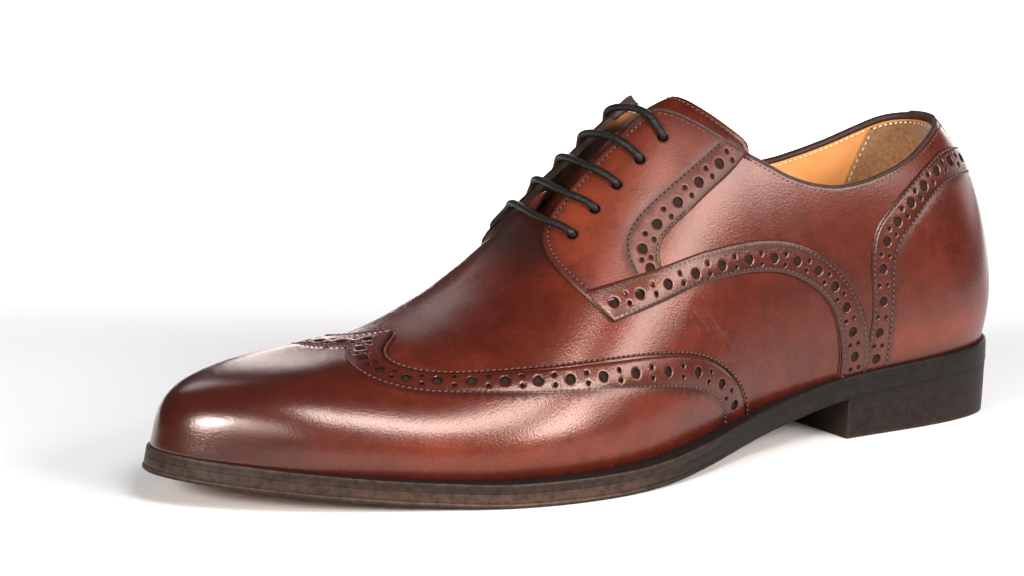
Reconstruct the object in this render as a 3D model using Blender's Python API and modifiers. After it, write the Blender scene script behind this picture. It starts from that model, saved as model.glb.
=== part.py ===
"""Full brogue derby, left shoe, standing on its heel and forefoot.

Upper, tongue, insole, welt, outsole, heel and lace, each its own closed solid.
Metres, +X towards the toe, +Y towards the outer (lateral) side, +Z up.
The origin is on the floor under the middle of the shoe.
"""
import math

import bmesh
import bpy
import numpy as np
from mathutils import Vector

MM = 0.001

# ---------------------------------------------------------------- named sizes, millimetres
WALL = 2.0            # closed upper: calf and lining together
GAP = 0.3             # air between neighbouring pieces
WELT_THICK = 2.6
WELT_TUCK = 1.6       # how far the welt runs in under the upper's wall
INSOLE_RISE = 2.6     # insole's top above the welt
HEEL_LENGTH = 74.0
HEEL_TAPER = 0.9      # each side, seat to floor
EYELET_RADIUS = 2.3
LACE_RADIUS = 1.2
LACE_OVER = LACE_RADIUS + 0.45           # centre of a bar above the upper's face
LACE_UNDER = -(WALL + GAP + LACE_RADIUS)   # centre of a hidden run
LACE_BEND = 2.0       # bend of the lace where it dives through a hole
BAR_RISE = 4.5        # a bar climbs square to the ridge: so much nearer the toe at the ridge than at its holes
TONGUE_THICK = 1.8
TONGUE_INSET = 5.3    # tongue's face under the upper's face, room for the hidden lace runs
ORIGIN_X = 152.6      # from the back of the heel to the middle of the shoe
ORIGIN_Y = -0.2       # from the heel's centre line to the middle of the ball's width

# plan of the last at its widest line, from the back of the heel
PLAN = [  # x, lateral, medial
    (9, 21.8, -21.8), (19, 28.0, -27.8), (36, 31.6, -31.0), (58, 32.4, -30.6), (85, 33.2, -29.2),
    (112, 36.4, -29.2), (140, 43.9, -34.6), (165, 50.5, -43.7), (187, 52.4, -49.6), (208, 49.2, -51.6),
    (230, 40.9, -49.9), (252, 30.7, -46.0), (272, 19.3, -39.9), (288, 6.8, -31.3), (296, -2.0, -25.0)]
HEEL_BACK = (0.3, 0.0)
TOE_TIP = (300.5, -14.0)

# ridge of the last seen from the side (behind the instep it runs on above the collar)
RIDGE = [  # x, height
    (0, 101), (60, 109.5), (105, 118), (120, 117.3), (136, 111.8), (150, 101), (170, 80.9), (190, 62.4), (210, 50.4),
    (230, 43.7), (250, 40.3), (270, 38.9), (285, 38.3), (300, 37.8)]
# the same ridge seen from above: it swings to the big toe
RIDGE_SWING = [  # x, y
    (0, 0), (60, 0), (110, -0.5), (140, -2.0), (170, -5.5), (190, -8.5), (226, -12), (300, -14)]
RIDGE_REAR, RIDGE_REAR_BLEND = 36.0, 22.0     # behind and in front of these the sections fan out
RIDGE_FRONT, RIDGE_FRONT_BLEND = 226.0, 34.0

# fullness of each section, 2 is an ellipse, more is squarer, less is more pointed
SECTION = [  # x, across, upwards
    (0, 2.0, 2.5), (30, 2.0, 2.6), (70, 2.5, 2.4), (110, 2.0, 2.0), (150, 1.75, 1.75), (190, 2.1, 2.0), (230, 2.3, 2.2),
    (262, 4.0, 2.5), (285, 6.6, 3.0), (301, 6.2, 3.2)]
# the wall draws in below its widest line
UNDERCUT = [  # x, inset at the welt (less than nothing stands out), height that it fades over
    (0, 3.4, 24), (20, 3.0, 23), (60, 2.4, 20), (110, 2.4, 18), (160, 2.6, 16), (200, 2.4, 15), (250, 1.3, 14),
    (285, -0.7, 12), (301, -1.6, 12)]
# underside of the outsole: heel seat, arch, flat tread at the ball, toe spring
UNDERSIDE = [  # x, height
    (0, 17.4), (74, 13.2), (95, 10.1), (115, 6.7), (140, 2.7), (160, 0.6), (178, 0), (212, 0), (240, 1.7), (270, 4.9),
    (290, 7.5), (306, 9.7)]
SOLE_EDGE = [  # x, thickness of outsole and welt together
    (0, 6.8), (74, 7.5), (110, 7.9), (200, 7.6), (300, 7.4)]
SOLE_REACH = [  # x, how far the sole stands out beyond the widest line
    (0, -0.8), (70, -0.4), (110, 1.5), (150, 4.0), (200, 4.4), (280, 4.0), (301, 4.0)]
COLLAR = [  # x, height of the top line
    (0, 99.0), (18, 97.6), (27, 95.4), (36, 91.4), (44, 88.0), (56, 84.6), (66, 82.8), (75, 82.3), (84, 83.6), (93, 86.6),
    (103, 92.2), (115, 99.4), (125, 106.2), (130, 108.8), (135, 110.2), (137, 113), (140, 150)]
THROAT = [  # x, half of the space between the facings
    (120, 6.8), (150, 7.2), (164, 7.6), (171, 7.0), (174.5, 4.6), (176.5, 0)]
EYELETS = [  # x, distance from the ridge seen from above, both sides
    (170.4, 21.6), (162.0, 20.2), (153.8, 19.0), (145.0, 17.8), (136.2, 16.6)]
TONGUE = [  # x, half width
    (120, 19), (122.5, 23.5), (127, 26), (136, 27), (150, 26), (163, 23.5), (175, 19.5), (184, 15)]

STATIONS = [3, 8, 14, 21, 29, 38, 48, 59, 71, 83, 95, 106, 117, 125, 131, 135.5, 138.5, 146, 154, 162, 169, 174, 177, 183, 191,
            200, 210, 220, 230, 240, 250, 260, 269, 277, 284, 290, 294.5, 298, 300]
ROWS = 11


# ---------------------------------------------------------------- smooth curves through the tables
def table(rows, column):
    """Smooth curve, without overshoot, through one column of a table."""
    xs = np.array([r[0] for r in rows], float)
    ys = np.array([r[column] for r in rows], float)
    h = np.diff(xs)
    slope = np.diff(ys) / h
    m = np.zeros_like(ys)
    m[0], m[-1] = slope[0], slope[-1]
    for i in range(1, len(xs) - 1):
        if slope[i - 1] * slope[i] > 0:
            w1, w2 = 2 * h[i] + h[i - 1], h[i] + 2 * h[i - 1]
            m[i] = (w1 + w2) / (w1 / slope[i - 1] + w2 / slope[i])

    def f(x):
        x = np.asarray(x, float)
        i = np.clip(np.searchsorted(xs, x, side="right") - 1, 0, len(xs) - 2)
        s = np.clip((x - xs[i]) / h[i], 0, 1)
        return ((1 + 2 * s) * (1 - s) ** 2 * ys[i] + s * (1 - s) ** 2 * h[i] * m[i]
                + s * s * (3 - 2 * s) * ys[i + 1] + s * s * (s - 1) * h[i] * m[i + 1])

    return f


def fair(rows, column):
    """Curve of even curvature (natural cubic spline) through one column of a table."""
    xs = np.array([r[0] for r in rows], float)
    ys = np.array([r[column] for r in rows], float)
    n, h = len(xs), np.diff(xs)
    a, b = np.eye(n), np.zeros(n)
    for i in range(1, n - 1):
        a[i, i - 1], a[i, i], a[i, i + 1] = h[i - 1], 2 * (h[i - 1] + h[i]), h[i]
        b[i] = 6 * ((ys[i + 1] - ys[i]) / h[i] - (ys[i] - ys[i - 1]) / h[i - 1])
    m = np.linalg.solve(a, b)

    def f(x):
        x = np.clip(np.asarray(x, float), xs[0], xs[-1])
        i = np.clip(np.searchsorted(xs, x, side="right") - 1, 0, n - 2)
        p = (xs[i + 1] - x) / h[i]
        q = 1 - p
        return p * ys[i] + q * ys[i + 1] + ((p ** 3 - p) * m[i] + (q ** 3 - q) * m[i + 1]) * h[i] ** 2 / 6

    return f


def closed_spline(points):
    """Closed cubic spline through plan points; returns f(u) for u in 0..1 and the points' own u."""
    p = np.asarray(points, float)
    n = len(p)
    h = np.linalg.norm(np.roll(p, -1, 0) - p, axis=1) ** 0.75
    t = np.concatenate([[0], np.cumsum(h)])
    a, b = np.zeros((n, n)), np.zeros((n, 2))
    for i in range(n):
        a[i, (i - 1) % n] += h[i - 1]
        a[i, i] += 2 * (h[i - 1] + h[i])
        a[i, (i + 1) % n] += h[i]
        b[i] = 6 * ((p[(i + 1) % n] - p[i]) / h[i] - (p[i] - p[i - 1]) / h[i - 1])
    m = np.linalg.solve(a, b)

    def f(u):
        s = np.atleast_1d(np.asarray(u, float)) % 1.0 * t[-1]
        i = np.clip(np.searchsorted(t, s, side="right") - 1, 0, n - 1)
        j = (i + 1) % n
        q = ((t[i + 1] - s) / h[i])[:, None]
        r = 1 - q
        return q * p[i] + r * p[j] + ((q ** 3 - q) * m[i] + (r ** 3 - r) * m[j]) * (h[i] ** 2)[:, None] / 6

    return f, t / t[-1]


# ---------------------------------------------------------------- the last
outline, knots = closed_spline([HEEL_BACK] + [(x, lat) for x, lat, med in PLAN] + [TOE_TIP]
                               + [(x, med) for x, lat, med in PLAN][::-1])
U_TOE = knots[len(PLAN) + 1]
ridge_z, ridge_y = fair(RIDGE, 1), fair(RIDGE_SWING, 1)
full_across, full_up = table(SECTION, 1), table(SECTION, 2)
inset_at_welt, inset_fade = table(UNDERCUT, 1), table(UNDERCUT, 2)
underside, sole_edge, sole_reach = table(UNDERSIDE, 1), table(SOLE_EDGE, 1), table(SOLE_REACH, 1)
collar_z, throat_half = table(COLLAR, 1), table(THROAT, 1)
THROAT_END = THROAT[-1][0]


def outward(u):
    """Unit normal of the plan outline, pointing away from the foot."""
    d = outline(np.asarray(u) + 1e-4) - outline(np.asarray(u) - 1e-4)
    n = np.stack([-d[:, 1], d[:, 0]], 1)
    return n / np.linalg.norm(n, axis=1)[:, None]


def ridge_x(x):
    """Where on the ridge the section through an outline point ends: straight across, fanning at heel and toe."""
    a, wa, b, wb = RIDGE_REAR, RIDGE_REAR_BLEND, RIDGE_FRONT, RIDGE_FRONT_BLEND
    c = np.where(x > b + wb, b, np.where(x > b - wb, x - (x - b + wb) ** 2 / (4 * wb), x))
    return np.where(x < a - wa, a, np.where(x < a + wa, c + (x - a - wa) ** 2 / (4 * wa), c))


def welt_top(x):
    return underside(x) + sole_edge(x)


def last(u, t):
    """Face of the upper: u runs round the plan (heel, lateral, toe, medial), t from the welt (0) to the ridge (pi/2)."""
    u, t = np.broadcast_arrays(np.atleast_1d(np.asarray(u, float)), np.atleast_1d(np.asarray(t, float)))
    f, n = outline(u), outward(u)
    x = f[:, 0]
    c = np.stack([ridge_x(x), ridge_y(ridge_x(x))], 1)
    across = np.clip(np.cos(t), 0, 1) ** (2 / full_across(x))
    up = np.clip(np.sin(t), 0, 1) ** (2 / full_up(x))
    p = c + across[:, None] * (f - c)
    inset = inset_at_welt(x)
    foot = welt_top((f - n * inset[:, None])[:, 0]) + GAP
    z = foot + up * (ridge_z(p[:, 0]) - foot)
    s = np.clip((z - foot) / inset_fade(x), 0, 1)
    p = p - n * (inset * (1 - s) ** 2)[:, None]
    return np.column_stack([p, z])


def outline_u(x, side):
    """u of the outline point at a distance x from the heel, on the lateral (+1) or medial (-1) side."""
    lo, hi = (0.0, U_TOE) if side > 0 else (1.0, U_TOE)
    for _ in range(50):
        mid = (lo + hi) / 2
        if outline(mid)[0, 0] < x:
            lo = mid
        else:
            hi = mid
    return (lo + hi) / 2


def rise_at(u, offset):
    """t at which the section through u is a given distance from the ridge, seen from above."""
    f = outline(u)[0]
    c = np.array([ridge_x(f[0]), ridge_y(ridge_x(f[0]))])
    return math.acos(min(1.0, offset / np.linalg.norm(f - c)) ** (float(full_across(f[0])) / 2))


def face_normal(x, offset, side, e=0.4):
    """Point of the upper's face beside the ridge, and its outward normal."""
    def at(px, po):
        u = outline_u(px, side if po >= 0 else -side)
        return last(u, rise_at(u, abs(po)))[0]
    p = at(x, offset)
    n = np.cross(at(x + e, offset) - at(x - e, offset), at(x, offset + e) - at(x, offset - e)) * side
    return p, n / np.linalg.norm(n)


def top_of_section(u):
    """t where the leather ends: at the ridge, at a facing's edge or at the top line."""
    f = outline(u)[0]
    c = float(ridge_x(f[0]))
    t = math.pi / 2
    if c < THROAT_END:
        half = float(throat_half(c))
        if half > 0:
            t = rise_at(u, half)
        lo, hi = 0.0, t
        p = last(u, t)[0]
        if p[2] > collar_z(p[0]):
            for _ in range(40):
                mid = (lo + hi) / 2
                p = last(u, mid)[0]
                if p[2] > collar_z(p[0]):
                    hi = mid
                else:
                    lo = mid
            t = (lo + hi) / 2
    return t


# ---------------------------------------------------------------- scene and helpers
for old in list(bpy.data.objects):
    bpy.data.objects.remove(old, do_unlink=True)

shoe = bpy.data.collections.new("full_brogue_derby")
cutters = bpy.data.collections.new("punches")
bpy.context.scene.collection.children.link(shoe)
bpy.context.scene.collection.children.link(cutters)
stand = bpy.data.objects.new("shoe", None)
shoe.objects.link(stand)


def finish(name, colour, roughness, metallic=0.0):
    mat = bpy.data.materials.new(name)
    mat.use_nodes = True
    bsdf = mat.node_tree.nodes["Principled BSDF"]
    bsdf.inputs["Base Color"].default_value = (*colour, 1)
    bsdf.inputs["Roughness"].default_value = roughness
    bsdf.inputs["Metallic"].default_value = metallic
    return mat


CALF = finish("burnished_calf", (0.16, 0.035, 0.018), 0.3)
LINING = finish("tan_lining", (0.42, 0.20, 0.06), 0.55)
EDGE = finish("inked_sole_leather", (0.018, 0.013, 0.011), 0.4)
WAXED = finish("waxed_cord", (0.012, 0.009, 0.008), 0.45)


def metres(p):
    return ((p[0] - ORIGIN_X) * MM, (p[1] - ORIGIN_Y) * MM, p[2] * MM)


def add_object(name, bm, material, weld=0.00001):
    bmesh.ops.remove_doubles(bm, verts=bm.verts, dist=weld)
    bmesh.ops.dissolve_degenerate(bm, edges=bm.edges, dist=weld)
    bmesh.ops.recalc_face_normals(bm, faces=bm.faces)
    mesh = bpy.data.meshes.new(name)
    bm.to_mesh(mesh)
    bm.free()
    mesh.shade_smooth()
    mesh.set_sharp_from_angle(angle=math.radians(40))
    mesh.materials.append(material)
    ob = bpy.data.objects.new(name, mesh)
    ob.parent = stand
    shoe.objects.link(ob)
    return ob


def grid_faces(bm, grid, closed=False):
    """Quads between neighbouring rows of points."""
    verts = [[bm.verts.new(metres(p)) for p in row] for row in grid]
    pairs = list(zip(verts, verts[1:] + verts[:1])) if closed else list(zip(verts, verts[1:]))
    for a, b in pairs:
        for i in range(len(a) - 1):
            bm.faces.new((a[i], a[i + 1], b[i + 1], b[i]))


def solidify(ob, thick):
    mod = ob.modifiers.new("wall", "SOLIDIFY")
    mod.thickness = thick * MM
    mod.offset = -1.0
    mod.use_even_offset = True
    mod.use_rim = True
    return mod


# ---------------------------------------------------------------- upper
def section_points(u):
    """Points up one section, evenly spaced along the leather."""
    top = top_of_section(u)
    t = np.linspace(0, top, 160)
    p = last(np.full(160, u), t)
    run = np.concatenate([[0], np.cumsum(np.linalg.norm(np.diff(p, axis=0), axis=1))])
    want = np.linspace(0, run[-1], ROWS)
    q = last(np.full(ROWS, u), np.interp(want, run, t))
    if top == math.pi / 2:
        f = outline(u)[0]
        x = float(ridge_x(f[0]))
        q[-1] = (x, float(ridge_y(x)), float(ridge_z(x)))
    return q


around = [0.0] + [outline_u(x, 1) for x in STATIONS] + [U_TOE] + [outline_u(x, -1) for x in STATIONS[::-1]]
bm = bmesh.new()
grid_faces(bm, [section_points(u) for u in around], closed=True)
upper = add_object("upper", bm, CALF)
solidify(upper, WALL)

punches = []
for side in (1, -1):
    for i, (x, offset) in enumerate(EYELETS):
        p, n = face_normal(x, offset, side)
        bpy.ops.mesh.primitive_cylinder_add(vertices=12, radius=EYELET_RADIUS * MM, depth=12 * MM, location=metres(p))
        punch = bpy.context.object
        punch.name = "punch_%s_%d" % ("lat" if side > 0 else "med", i + 1)
        punch.rotation_mode = "QUATERNION"
        punch.rotation_quaternion = Vector(n).to_track_quat("Z", "Y")
        for home in list(punch.users_collection):
            home.objects.unlink(punch)
        cutters.objects.link(punch)
        punch.hide_render = True
        punch.display_type = "WIRE"
        cut = upper.modifiers.new(punch.name, "BOOLEAN")
        cut.operation = "DIFFERENCE"
        cut.object = punch
        punches.append((p, n))

# ---------------------------------------------------------------- tongue
tongue_half = table(TONGUE, 1)
rows = []
for x in (184, 178, 171, 163, 155, 147, 139, 132, 127, 123.5, 121, 120):
    half = float(tongue_half(x))
    row = []
    for w in np.linspace(-half, half, 13):
        side = 1 if w >= 0 else -1
        p, n = face_normal(x, abs(w), side, 1.5)
        row.append(p - n * TONGUE_INSET)
    rows.append(row)
bm = bmesh.new()
grid_faces(bm, rows)
tongue = add_object("tongue", bm, CALF)
if sum(f.normal.z for f in tongue.data.polygons) < 0:
    tongue.data.flip_normals()
solidify(tongue, TONGUE_THICK)


# ---------------------------------------------------------------- soles
def offset_outline(reach, count=400):
    """Plan outline moved outwards by reach(x), as half widths by x: (x_min, x_max, lateral(x), medial(x))."""
    u = np.linspace(0, 1, count, endpoint=False)
    f = outline(u)
    p = f + outward(u) * reach(f[:, 0])[:, None]
    back, tip = int(np.argmin(p[:, 0])), int(np.argmax(p[:, 0]))
    p = np.roll(p, -back, 0)
    tip = (tip - back) % count
    lat, med = p[:tip + 1], np.vstack([p[tip:], p[:1]])[::-1]

    def half(side_points):
        return lambda x: np.interp(x, side_points[:, 0], side_points[:, 1])

    return p[0], p[tip], half(lat), half(med)


def plate(name, reach, bottom, top, material, x_end=None, taper=0.0, count=40):
    """Closed plate between two heights over the outline; x_end cuts it off square, taper draws the lower edge in."""
    back, tip, lat, med = offset_outline(reach)
    x1 = tip[0] if x_end is None else x_end
    a = np.linspace(0, math.pi if x_end is None else math.pi / 2, count)
    xs = back[0] + (x1 - back[0]) * ((1 - np.cos(a)) / 2 if x_end is None else 1 - np.cos(a))
    mid = x1 * 0.5
    grid = []
    for i, x in enumerate(xs):
        yl, ym = float(lat(x)), float(med(x))
        if i == 0:
            yl = ym = back[1]
        if i == count - 1 and x_end is None:
            yl = ym = tip[1]
        zb, zt = float(bottom(x)), float(top(x))
        k = taper / max(1.0, (yl - ym) / 2)
        xb = x + taper * max(0.0, 1 - (x - xs[0]) / mid)
        grid.append([(xb, yl * (1 - k) + (yl + ym) / 2 * k, zb), (x, yl, zt), (x, ym, zt),
                     (xb, ym * (1 - k) + (yl + ym) / 2 * k, zb), (xb, yl * (1 - k) + (yl + ym) / 2 * k, zb)])
    bm = bmesh.new()
    grid_faces(bm, grid)
    if x_end is not None:
        bmesh.ops.remove_doubles(bm, verts=bm.verts, dist=0.00001)
        bmesh.ops.holes_fill(bm, edges=[e for e in bm.edges if e.is_boundary])
    return add_object(name, bm, material)


def outsole_top(x):
    return welt_top(x) - WELT_THICK - GAP


outsole = plate("outsole", sole_reach, underside, outsole_top, EDGE, count=48)
insole = plate("insole", lambda x: -(np.maximum(inset_at_welt(x), 0.6 * inset_at_welt(x)) + WALL + 0.45), lambda x: outsole_top(x) + GAP,
               lambda x: welt_top(x) + INSOLE_RISE, LINING, count=40)
heel = plate("heel", lambda x: sole_reach(x) - 0.2, lambda x: 0 * x, lambda x: underside(x) - GAP, EDGE,
             x_end=HEEL_LENGTH, taper=HEEL_TAPER, count=26)

ring = []
for u in np.concatenate([np.linspace(0, U_TOE, 44, endpoint=False), np.linspace(U_TOE, 1, 44, endpoint=False)]):
    f, n = outline(u)[0], outward(np.array([u]))[0]
    out = f + n * float(sole_reach(f[0]))
    tuck = f - n * float(inset_at_welt(f[0]) + WELT_TUCK)
    corners = [(out, outsole_top), (out, None), (tuck, None), (tuck, outsole_top), (out, outsole_top)]
    ring.append([(p[0], p[1], float(welt_top(p[0]) if z is None else z(p[0]) + GAP)) for p, z in corners])
bm = bmesh.new()
grid_faces(bm, ring, closed=True)
welt = add_object("welt", bm, EDGE)


# ---------------------------------------------------------------- lace, five straight bars through ten holes
def bend(corner, a, b, radius, steps=4):
    """Arc that rounds the corner between the directions to a and to b."""
    da, db = a - corner, b - corner
    da, db = da / np.linalg.norm(da), db / np.linalg.norm(db)
    angle = math.acos(float(np.clip(da @ db, -1, 1)))
    if angle > 3.0:
        return [corner]
    cut = radius / math.tan(angle / 2)
    centre = corner + (da + db) / np.linalg.norm(da + db) * radius / math.sin(angle / 2)
    s, e = corner + da * cut - centre, corner + db * cut - centre
    sweep = math.pi - angle
    return [centre + (s * math.sin((1 - k) * sweep) + e * math.sin(k * sweep)) / math.sin(sweep)
            for k in np.linspace(0, 1, steps + 1)]


def hole(row, side):
    return punches[(0 if side > 0 else 5) + row - 1]


def over(row, side):
    p, n = hole(row, side)
    return p + n * LACE_OVER


def under(row, side):
    p, n = hole(row, side)
    return p + n * LACE_UNDER


# which hole the lace passes next; a bar crosses on top, a hidden run goes up one side underneath
LACE_WAY = [(4, 1), (4, -1), (2, -1), (2, 1), (1, 1), (1, -1), (3, -1), (3, 1), (5, 1), (5, -1)]
def bar(row):
    """Points of a bar between its two holes: up the facing, over its edge and across to the other facing."""
    x, offset = EYELETS[row - 1]
    points = []
    for side, share in ((1, 0.72), (1, 0.0), (-1, 0.0), (-1, 0.72)):
        w = max(share * offset, float(throat_half(x)) - 0.5)
        p, n = face_normal(x + BAR_RISE * (1 - (w / offset) ** 2), w, side)
        points.append(p + n * LACE_OVER)
    return points


corners = []
first, last_hole = LACE_WAY[0], LACE_WAY[-1]
corners.append(under(*first) + (under(3, 1) - under(*first)) * 0.45)
for i, (row, side) in enumerate(LACE_WAY):
    if i % 2 == 0:
        corners += [under(row, side), over(row, side)] + bar(row)[::side]
    else:
        corners += [over(row, side), under(row, side)]
corners.append(under(*last_hole) + (under(4, -1) - under(*last_hole)) * 0.45)
route = [corners[0]]
for a, c, b in zip(corners, corners[1:], corners[2:]):
    arc = bend(c, a, b, LACE_BEND)
    gap = np.linalg.norm(arc[0] - route[-1])
    n_mid = int(gap // 9)
    for k in range(1, n_mid + 1):
        route.append(route[-1] + (arc[0] - route[-1]) * (1 / (n_mid + 2 - k)))
    route += arc
route.append(corners[-1])

curve = bpy.data.curves.new("lace", "CURVE")
curve.dimensions = "3D"
spline = curve.splines.new("POLY")
spline.points.add(len(route) - 1)
for point, p in zip(spline.points, route):
    point.co = (*metres(p), 1)
curve.bevel_depth = LACE_RADIUS * MM
curve.bevel_resolution = 2
curve.use_fill_caps = True
curve.materials.append(WAXED)
lace = bpy.data.objects.new("lace", curve)
lace.parent = stand
shoe.objects.link(lace)
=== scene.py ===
"""Looks of the full brogue derby, left shoe.

Lengths are millimetres from the back of the heel (x to the toe, y to the lateral side, z up) until a mesh is made.
Leather panels are drawn on the last laid flat, cut as closed thin shells and put back on the last.
"""
import math

import bpy
import numpy as np
from mathutils import Matrix, Vector
from mathutils.geometry import delaunay_2d_cdt
from mathutils.kdtree import KDTree


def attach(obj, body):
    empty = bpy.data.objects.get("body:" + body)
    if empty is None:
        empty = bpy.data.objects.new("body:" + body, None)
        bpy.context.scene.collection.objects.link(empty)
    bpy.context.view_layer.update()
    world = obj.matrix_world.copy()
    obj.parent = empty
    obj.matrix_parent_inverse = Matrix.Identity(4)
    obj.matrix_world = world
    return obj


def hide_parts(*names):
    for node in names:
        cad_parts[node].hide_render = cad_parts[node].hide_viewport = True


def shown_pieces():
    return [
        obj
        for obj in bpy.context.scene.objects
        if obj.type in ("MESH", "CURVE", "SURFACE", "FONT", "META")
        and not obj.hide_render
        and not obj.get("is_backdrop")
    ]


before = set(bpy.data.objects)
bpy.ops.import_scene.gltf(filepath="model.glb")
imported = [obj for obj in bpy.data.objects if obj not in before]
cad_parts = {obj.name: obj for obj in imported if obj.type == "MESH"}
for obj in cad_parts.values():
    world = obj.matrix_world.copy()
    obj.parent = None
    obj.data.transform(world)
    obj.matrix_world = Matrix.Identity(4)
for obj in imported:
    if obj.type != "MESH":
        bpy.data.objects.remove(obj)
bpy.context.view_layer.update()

# ---------------------------------------------------------------- the last, as in the part's source
WALL, GAP, WELT_THICK, WELT_TUCK, INSOLE_RISE = 2.0, 0.3, 2.6, 1.6, 2.6
HEEL_LENGTH, HEEL_TAPER = 74.0, 0.9
LACE_RADIUS, LACE_BEND, BAR_RISE = 1.2, 2.0, 2.7
LACE_UNDER = -(WALL + GAP + LACE_RADIUS)
ORIGIN = np.array([152.6, -0.2, 0.0])

PLAN = [  # x, lateral, medial
    (9, 21.8, -21.8), (19, 28.0, -27.8), (36, 31.6, -31.0), (58, 32.4, -30.6), (85, 33.2, -29.2),
    (112, 36.4, -29.2), (140, 43.9, -34.6), (165, 50.5, -43.7), (187, 52.4, -49.6), (208, 49.2, -51.6),
    (230, 40.9, -49.9), (252, 30.7, -46.0), (272, 19.3, -39.9), (288, 6.8, -31.3), (296, -2.0, -25.0)]
HEEL_BACK, TOE_TIP = (0.3, 0.0), (300.5, -14.0)
RIDGE = [  # x, height
    (0, 101), (60, 109.5), (105, 118), (120, 117.3), (136, 111.8), (150, 101), (170, 80.9), (190, 62.4), (210, 50.4),
    (230, 43.7), (250, 40.3), (270, 38.9), (285, 38.3), (300, 37.8)]
RIDGE_SWING = [  # x, y
    (0, 0), (60, 0), (110, -0.5), (140, -2.0), (170, -5.5), (190, -8.5), (226, -12), (300, -14)]
RIDGE_REAR, RIDGE_REAR_BLEND, RIDGE_FRONT, RIDGE_FRONT_BLEND = 36.0, 22.0, 226.0, 34.0
SECTION = [  # x, across, upwards
    (0, 2.0, 2.5), (30, 2.0, 2.6), (70, 2.5, 2.4), (110, 2.0, 2.0), (150, 1.75, 1.75), (190, 2.1, 2.0), (230, 2.3, 2.2),
    (262, 4.0, 2.5), (285, 6.6, 3.0), (301, 6.2, 3.2)]
UNDERCUT = [  # x, inset at the welt (less than nothing stands out), height that it fades over
    (0, 3.4, 24), (20, 3.0, 23), (60, 2.4, 20), (110, 2.4, 18), (160, 2.6, 16), (200, 2.4, 15), (250, 1.3, 14),
    (285, -0.7, 12), (301, -1.6, 12)]
UNDERSIDE = [  # x, height
    (0, 17.4), (74, 13.2), (95, 10.1), (115, 6.7), (140, 2.7), (160, 0.6), (178, 0), (212, 0), (240, 1.7), (270, 4.9),
    (290, 7.5), (306, 9.7)]
SOLE_EDGE = [(0, 6.8), (74, 7.5), (110, 7.9), (200, 7.6), (300, 7.4)]
SOLE_REACH = [(0, -0.8), (70, -0.4), (110, 1.5), (150, 4.0), (200, 4.4), (280, 4.0), (301, 4.0)]
COLLAR = [  # x, height of the top line
    (0, 99.0), (18, 97.6), (27, 95.4), (36, 91.4), (44, 88.0), (56, 84.6), (66, 82.8), (75, 82.3), (84, 83.6), (93, 86.6),
    (103, 92.2), (115, 99.4), (125, 106.2), (130, 108.8), (135, 110.2), (137, 113), (140, 150)]
THROAT = [(120, 6.8), (150, 7.2), (164, 7.6), (171, 7.0), (174.5, 4.6), (176.5, 0)]
EYELETS = [(170.4, 21.6), (162.0, 20.2), (153.8, 19.0), (145.0, 17.8), (136.2, 16.6)]
TONGUE = [(120, 19), (122.5, 23.5), (127, 26), (136, 27), (150, 26), (163, 23.5), (175, 19.5), (184, 15)]
TONGUE_THICK, TONGUE_INSET = 1.8, 5.3


def table(rows, column=1):
    xs = np.array([r[0] for r in rows], float)
    ys = np.array([r[column] for r in rows], float)
    h = np.diff(xs)
    slope = np.diff(ys) / h
    m = np.zeros_like(ys)
    m[0], m[-1] = slope[0], slope[-1]
    for i in range(1, len(xs) - 1):
        if slope[i - 1] * slope[i] > 0:
            w1, w2 = 2 * h[i] + h[i - 1], h[i] + 2 * h[i - 1]
            m[i] = (w1 + w2) / (w1 / slope[i - 1] + w2 / slope[i])

    def f(x):
        x = np.asarray(x, float)
        i = np.clip(np.searchsorted(xs, x, side="right") - 1, 0, len(xs) - 2)
        s = np.clip((x - xs[i]) / h[i], 0, 1)
        return ((1 + 2 * s) * (1 - s) ** 2 * ys[i] + s * (1 - s) ** 2 * h[i] * m[i]
                + s * s * (3 - 2 * s) * ys[i + 1] + s * s * (s - 1) * h[i] * m[i + 1])

    return f


def natural(xs, ys):
    """Natural cubic spline through points (columns of ys) at parameters xs."""
    xs, ys = np.asarray(xs, float), np.asarray(ys, float)
    n, h = len(xs), np.diff(xs)
    a, b = np.eye(n), np.zeros_like(ys)
    for i in range(1, n - 1):
        a[i, i - 1], a[i, i], a[i, i + 1] = h[i - 1], 2 * (h[i - 1] + h[i]), h[i]
        b[i] = 6 * ((ys[i + 1] - ys[i]) / h[i] - (ys[i] - ys[i - 1]) / h[i - 1])
    m = np.linalg.solve(a, b)

    def f(x):
        x = np.clip(np.asarray(x, float), xs[0], xs[-1])
        i = np.clip(np.searchsorted(xs, x, side="right") - 1, 0, n - 2)
        p = (xs[i + 1] - x) / h[i]
        q = 1 - p
        hh = h[i]
        if ys.ndim > 1:
            p, q, hh = p[..., None], q[..., None], hh[..., None]
        return p * ys[i] + q * ys[i + 1] + ((p ** 3 - p) * m[i] + (q ** 3 - q) * m[i + 1]) * hh ** 2 / 6

    return f


def fair(rows, column=1):
    return natural([r[0] for r in rows], [r[column] for r in rows])


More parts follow.
